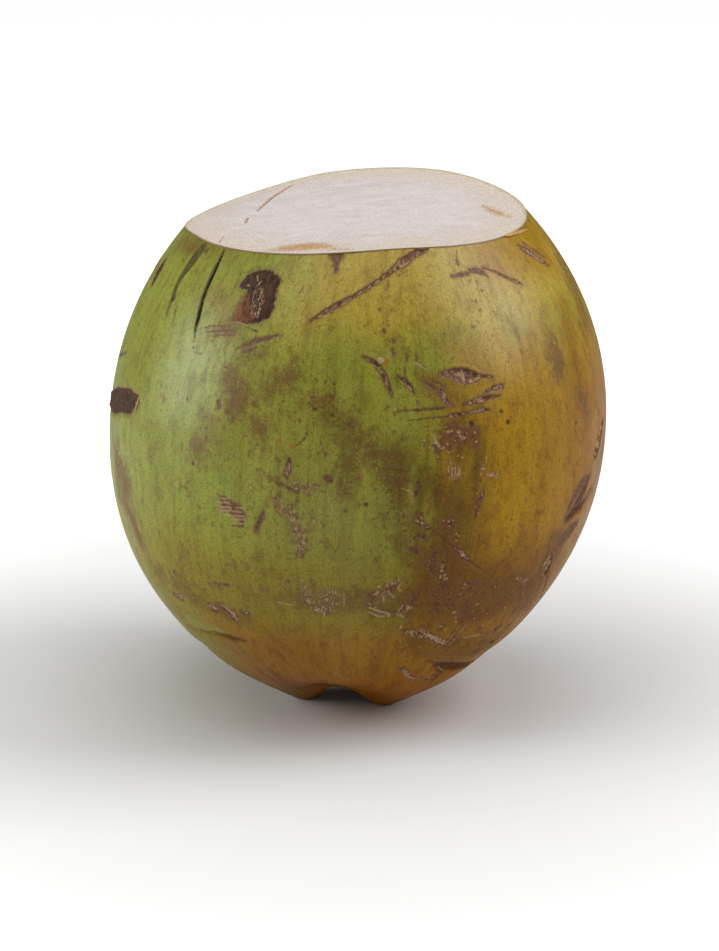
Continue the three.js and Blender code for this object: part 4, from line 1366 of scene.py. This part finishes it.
# %% [markdown]
# The tissue is whitest in the middle and warmer to the right, where it has begun to dry. Over
# that come zones that follow the rim inwards, and the stains and nicks, each with its own
# ragged border.

# %% Zones of the slice
ZONES = [
    # field, start, full, ragged by, on pattern, colour, strength
    ("from_rim", -22.0, -3.0, 12.0, "blotch", "#dccdbe", 0.85),
    ("tan", -1.4, 2.6, 7.0, "grit", "#c08f50", 0.85),
    ("dun", -1.0, 2.2, 5.0, "streak", "#cfc0b0", 0.50),
    ("from_rim", -1.5, -0.9, 0.8, "grit", "#c9c296", 0.70),
    ("from_rim", -0.6, -0.3, 0.8, "blotch", "#86602e", 0.80),
    ("nick", -0.5, 0.4, 0.9, "grit", "#ae7e4a", 0.85),
]
WHITE, CLOUD, DRYING = "#e6dedc", "#d9cfcd", "#d9c6ab"
DRY_START, DRY_FULL, DRY_STRENGTH = 30 * MM, 75 * MM, 0.6  # distances to the right
clouds = add(tree, "ShaderNodeMapRange", {0: pattern["blotch"], 1: 0.3, 2: 0.7})
colour = add(tree, "ShaderNodeMix", {0: clouds.outputs[0], 6: srgb(WHITE), 7: srgb(CLOUD)},
             data_type="RGBA").outputs[2]
place = add(tree, "ShaderNodeSeparateXYZ", {0: object_space})
right = add(tree, "ShaderNodeMapRange", {0: place.outputs["X"], 1: DRY_START, 2: DRY_FULL,
                                         3: 0, 4: DRY_STRENGTH},
            interpolation_type="SMOOTHSTEP")
colour = add(tree, "ShaderNodeMix", {0: right.outputs[0], 6: colour, 7: srgb(DRYING)},
             data_type="RGBA").outputs[2]
for name, start, full, ragged, rag, tint, strength in ZONES:
    mask = ragged_mask(tree, name, start, full, ragged, pattern[rag], strength)
    colour = add(tree, "ShaderNodeMix", {0: mask, 6: colour, 7: srgb(tint)},
                 data_type="RGBA").outputs[2]
print(len(ZONES), "zones on the slice")

# %% [markdown]
# The bundles of fibre are cells of about 1 mm, most of them near the rim, and the streaks and
# fine threads of the middle run from left to right as the blade did.

# %% Fibre ends, streaks and the slice's shader
BUNDLE = 1.05 * MM  # between the ends of two bundles, from left to right
BUNDLE_PALE, BUNDLE_SQUASH = "#efe6da", 1.3  # the cells are this much shorter front to back
OUTER_START, OUTER_FULL, SKIN_START, SKIN_FULL = -24, -4, -1.6, -0.9  # mm from the rim
FAINTEST, CLEAREST = 0.2, 0.8  # how clear the bundles are in the middle and near the rim
CUT_TINTS = [("streak", 0.14, "#dcd2cf"), ("thread", 0.20, "#d8cec8"), ("grit", 0.45, "#c8bcae")]
CUT_ROUGHNESS, CUT_IOR, CUT_BUMP = 0.62, 1.4, 0.12 * MM
cells = add(tree, "ShaderNodeMapping", {"Vector": object_space,
                                        "Scale": (1 / BUNDLE, BUNDLE_SQUASH / BUNDLE, 0)})
bundles = add(tree, "ShaderNodeTexVoronoi", {"Vector": cells.outputs[0], "Scale": 1,
                                             "Randomness": 0.8})
ends = add(tree, "ShaderNodeMapRange", {0: bundles.outputs["Distance"], 1: 0.18, 2: 0.45,
                                        3: 1, 4: 0}, interpolation_type="SMOOTHSTEP")
outer = add(tree, "ShaderNodeMapRange", {0: rim, 1: OUTER_START, 2: OUTER_FULL,
                                         3: FAINTEST, 4: CLEAREST})
under_skin = add(tree, "ShaderNodeMapRange", {0: rim, 1: SKIN_START, 2: SKIN_FULL, 3: 1, 4: 0})
dots = add(tree, "ShaderNodeMath", {0: ends.outputs[0], 1: outer.outputs[0]},
           operation="MULTIPLY").outputs[0]
dots = add(tree, "ShaderNodeMath", {0: dots, 1: under_skin.outputs[0]},
           operation="MULTIPLY").outputs[0]
colour = add(tree, "ShaderNodeMix", {0: dots, 6: colour, 7: srgb(BUNDLE_PALE)},
             data_type="RGBA").outputs[2]
for name, strength, tint in CUT_TINTS:
    amount = add(tree, "ShaderNodeMapRange", {0: pattern[name], 1: 0.45, 2: 0.7, 3: 0,
                                              4: strength}, interpolation_type="SMOOTHSTEP")
    colour = add(tree, "ShaderNodeMix", {0: amount.outputs[0], 6: colour, 7: srgb(tint)},
                 data_type="RGBA", blend_type="MULTIPLY").outputs[2]
height = add(tree, "ShaderNodeMath", {0: dots, 1: 0.5, 2: pattern["thread"]},
             operation="MULTIPLY_ADD")
height = add(tree, "ShaderNodeMath", {0: height.outputs[0], 1: pattern["grit"]})
bump = add(tree, "ShaderNodeBump", {"Height": height.outputs[0], "Distance": CUT_BUMP})
shader = add(tree, "ShaderNodeBsdfPrincipled", {
    "Base Color": colour, "Roughness": CUT_ROUGHNESS, "IOR": CUT_IOR,
    "Normal": bump.outputs[0]})
add(tree, "ShaderNodeOutputMaterial", {"Surface": shader.outputs[0]})
husk_mesh.materials.append(cut)  # CUT_SLOT
print("slice:", len(tree.nodes), "nodes")

# %% [markdown]
# ## The splinter on the rim
# Where the last stroke ended, it left a sliver of yellow fibre lying along the rim. It starts
# as a fine sphere, is drawn out to a sliver, and is bent to the rim that carries it.

# %% Splinter
SPLINTER_PIXELS = [(504.5, 236.5), (515, 232.5), (527, 230)]
SPLINTER_WIDTH, SPLINTER_THICKNESS, SPLINTER_LIFT = 1.7 * MM, 1.1 * MM, 0.2 * MM
LEANING_OUT = Vector((0.4, -0.3, 0.85))  # the way its upper side faces
SPLINTER_TAPER, SPLINTER_RAGGED = 0.45, 0.25
start, middle, end = (Vector(on_husk(*pixel)) for pixel in SPLINTER_PIXELS)
long_axis = (end - start).normalized()
upward = (LEANING_OUT - LEANING_OUT.dot(long_axis) * long_axis).normalized()
sideways = upward.cross(long_axis)

sliver = bmesh.new()
bmesh.ops.create_icosphere(sliver, subdivisions=4, radius=0.5)
for vert in sliver.verts:
    x, y, z = vert.co
    ragged = 1 + SPLINTER_RAGGED * noise.noise(Vector((x * 4, y * 2, z * 2)))
    taper = 1 - SPLINTER_TAPER * (x + 0.5)
    bow = (1 - 4 * x * x) * (middle - (start + end) / 2).dot(sideways)
    vert.co = ((start + end) / 2 + x * (end - start)
               + sideways * (y * SPLINTER_WIDTH * taper * ragged + bow)
               + upward * (z * SPLINTER_THICKNESS * taper * ragged + SPLINTER_LIFT))
for face in sliver.faces:
    face.smooth = True
splinter = place_mesh("splinter", sliver)
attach(splinter, "root")
print("splinter:", round((end - start).length / MM, 1), "mm long")

# %% [markdown]
# Dry fibre is golden with darker lines between its threads, so its noise is drawn out ten
# times along the sliver.

# %% Dry fibre
THREAD_DARK, THREAD_GOLD = "#a8702c", "#dbb873"
THREAD_LENGTH, THREAD_WIDTH, THREAD_TURN = 4 * MM, 0.4 * MM, -0.5  # the turn in radians
FIBRE_ROUGHNESS, FIBRE_IOR, FIBRE_BUMP = 0.6, 1.45, 0.1 * MM
fibre, tree = new_material("dry_yellow_fibre")
object_space = add(tree, "ShaderNodeTexCoord").outputs["Object"]
drawn_out = add(tree, "ShaderNodeMapping", {
    "Vector": object_space, "Rotation": (0, 0, THREAD_TURN),
    "Scale": (1 / THREAD_LENGTH, 1 / THREAD_WIDTH, 1 / THREAD_WIDTH)})
grain = add(tree, "ShaderNodeTexNoise", {"Vector": drawn_out.outputs[0], "Scale": 1,
                                         "Detail": 2}).outputs["Fac"]
sharper = add(tree, "ShaderNodeMapRange", {0: grain, 1: 0.4, 2: 0.62})
tone = add(tree, "ShaderNodeMix", {0: sharper.outputs[0], 6: srgb(THREAD_DARK),
                                   7: srgb(THREAD_GOLD)}, data_type="RGBA").outputs[2]
bump = add(tree, "ShaderNodeBump", {"Height": grain, "Distance": FIBRE_BUMP})
shader = add(tree, "ShaderNodeBsdfPrincipled", {
    "Base Color": tone, "Roughness": FIBRE_ROUGHNESS, "IOR": FIBRE_IOR,
    "Normal": bump.outputs[0]})
add(tree, "ShaderNodeOutputMaterial", {"Surface": shader.outputs[0]})
splinter.data.materials.append(fibre)
print("dry fibre:", len(tree.nodes), "nodes")

# %% [markdown]
# ## Floor and light
# The fruit stands on white paper. Away from the fruit the paper is lifted to a pale tone that
# only the camera sees, so that it stays white without lighting the fruit from below.

# %% Floor
GLOW_START, GLOW_FULL, GLOW = 0.03, 0.5, 0.85  # metres, metres and strength
FLOOR_REACH = 8  # metres to each side
PAPER, GLOW_WHITE, PAPER_ROUGHNESS = "#e8e8e8", "#ffffff", 0.9
sheet = bmesh.new()
bmesh.ops.create_grid(sheet, x_segments=1, y_segments=1, size=FLOOR_REACH)
floor = place_mesh("floor", sheet)
paper, tree = new_material("white_paper")
away = add(tree, "ShaderNodeVectorMath", {0: add(tree, "ShaderNodeTexCoord").outputs["Object"]},
           operation="LENGTH")
glow = add(tree, "ShaderNodeMapRange", {0: away.outputs["Value"], 1: GLOW_START, 2: GLOW_FULL,
                                        3: 0, 4: GLOW}, interpolation_type="SMOOTHSTEP")
seen = add(tree, "ShaderNodeMath", {0: glow.outputs[0],
                                    1: add(tree, "ShaderNodeLightPath").outputs["Is Camera Ray"]},
           operation="MULTIPLY")
shader = add(tree, "ShaderNodeBsdfPrincipled", {
    "Base Color": srgb(PAPER), "Roughness": PAPER_ROUGHNESS,
    "Emission Color": srgb(GLOW_WHITE), "Emission Strength": seen.outputs[0]})
add(tree, "ShaderNodeOutputMaterial", {"Surface": shader.outputs[0]})
floor.data.materials.append(paper)
print("floor:", 2 * FLOOR_REACH, "m wide")

# %% [markdown]
# A waxy skin shows its lights as broad soft streaks, so the lights are areas. The two at the
# sides make the long highlights on the flanks, and the two above light the slice.

# %% Lights
SOFT_BOXES = [  # name, azimuth, elevation, distance, width and height in metres, and watts
    ("left_box", -86, 16, 1.0, 0.55, 0.5, 5.3),
    ("right_box", 87, 38, 1.0, 0.6, 0.7, 6.4),
    ("upper_left_box", -50, 55, 1.0, 0.5, 0.5, 1.4),
    ("top_box", 0, 84, 1.0, 0.8, 0.8, 3.1),
]


def soft_box(name, azimuth, elevation, distance, width, height, power):
    """An area light that looks at the fruit from an azimuth and elevation in degrees."""
    a, e = math.radians(azimuth), math.radians(elevation)
    away = Vector((math.sin(a) * math.cos(e), -math.cos(a) * math.cos(e), math.sin(e)))
    data = bpy.data.lights.new(name, "AREA")
    data.shape, data.size, data.size_y, data.energy = "RECTANGLE", width, height, power
    light = place_object(name, data)
    light.location = LOOK_AT + distance * away
    light.rotation_euler = (-away).to_track_quat("-Z", "Y").to_euler()


for row in SOFT_BOXES:
    soft_box(*row)
print(len(SOFT_BOXES), "soft boxes")

# %% [markdown]
# The world is white where the camera looks past the paper, and a dim white light for the
# fruit. The Standard view keeps the paper white, where a filmic one would grey it.

# %% World and view
SEEN_WORLD, LIGHTING_WORLD = 1.0, 0.15
world = bpy.data.worlds.new("studio")
bpy.context.scene.world = world
world.use_nodes = True
background = world.node_tree.nodes["Background"]
background.inputs["Color"].default_value = srgb("#ffffff")
seen = add(world.node_tree, "ShaderNodeMapRange", {
    0: add(world.node_tree, "ShaderNodeLightPath").outputs["Is Camera Ray"],
    3: LIGHTING_WORLD, 4: SEEN_WORLD})
world.node_tree.links.new(seen.outputs[0], background.inputs["Strength"])
bpy.context.scene.view_settings.view_transform = "Standard"
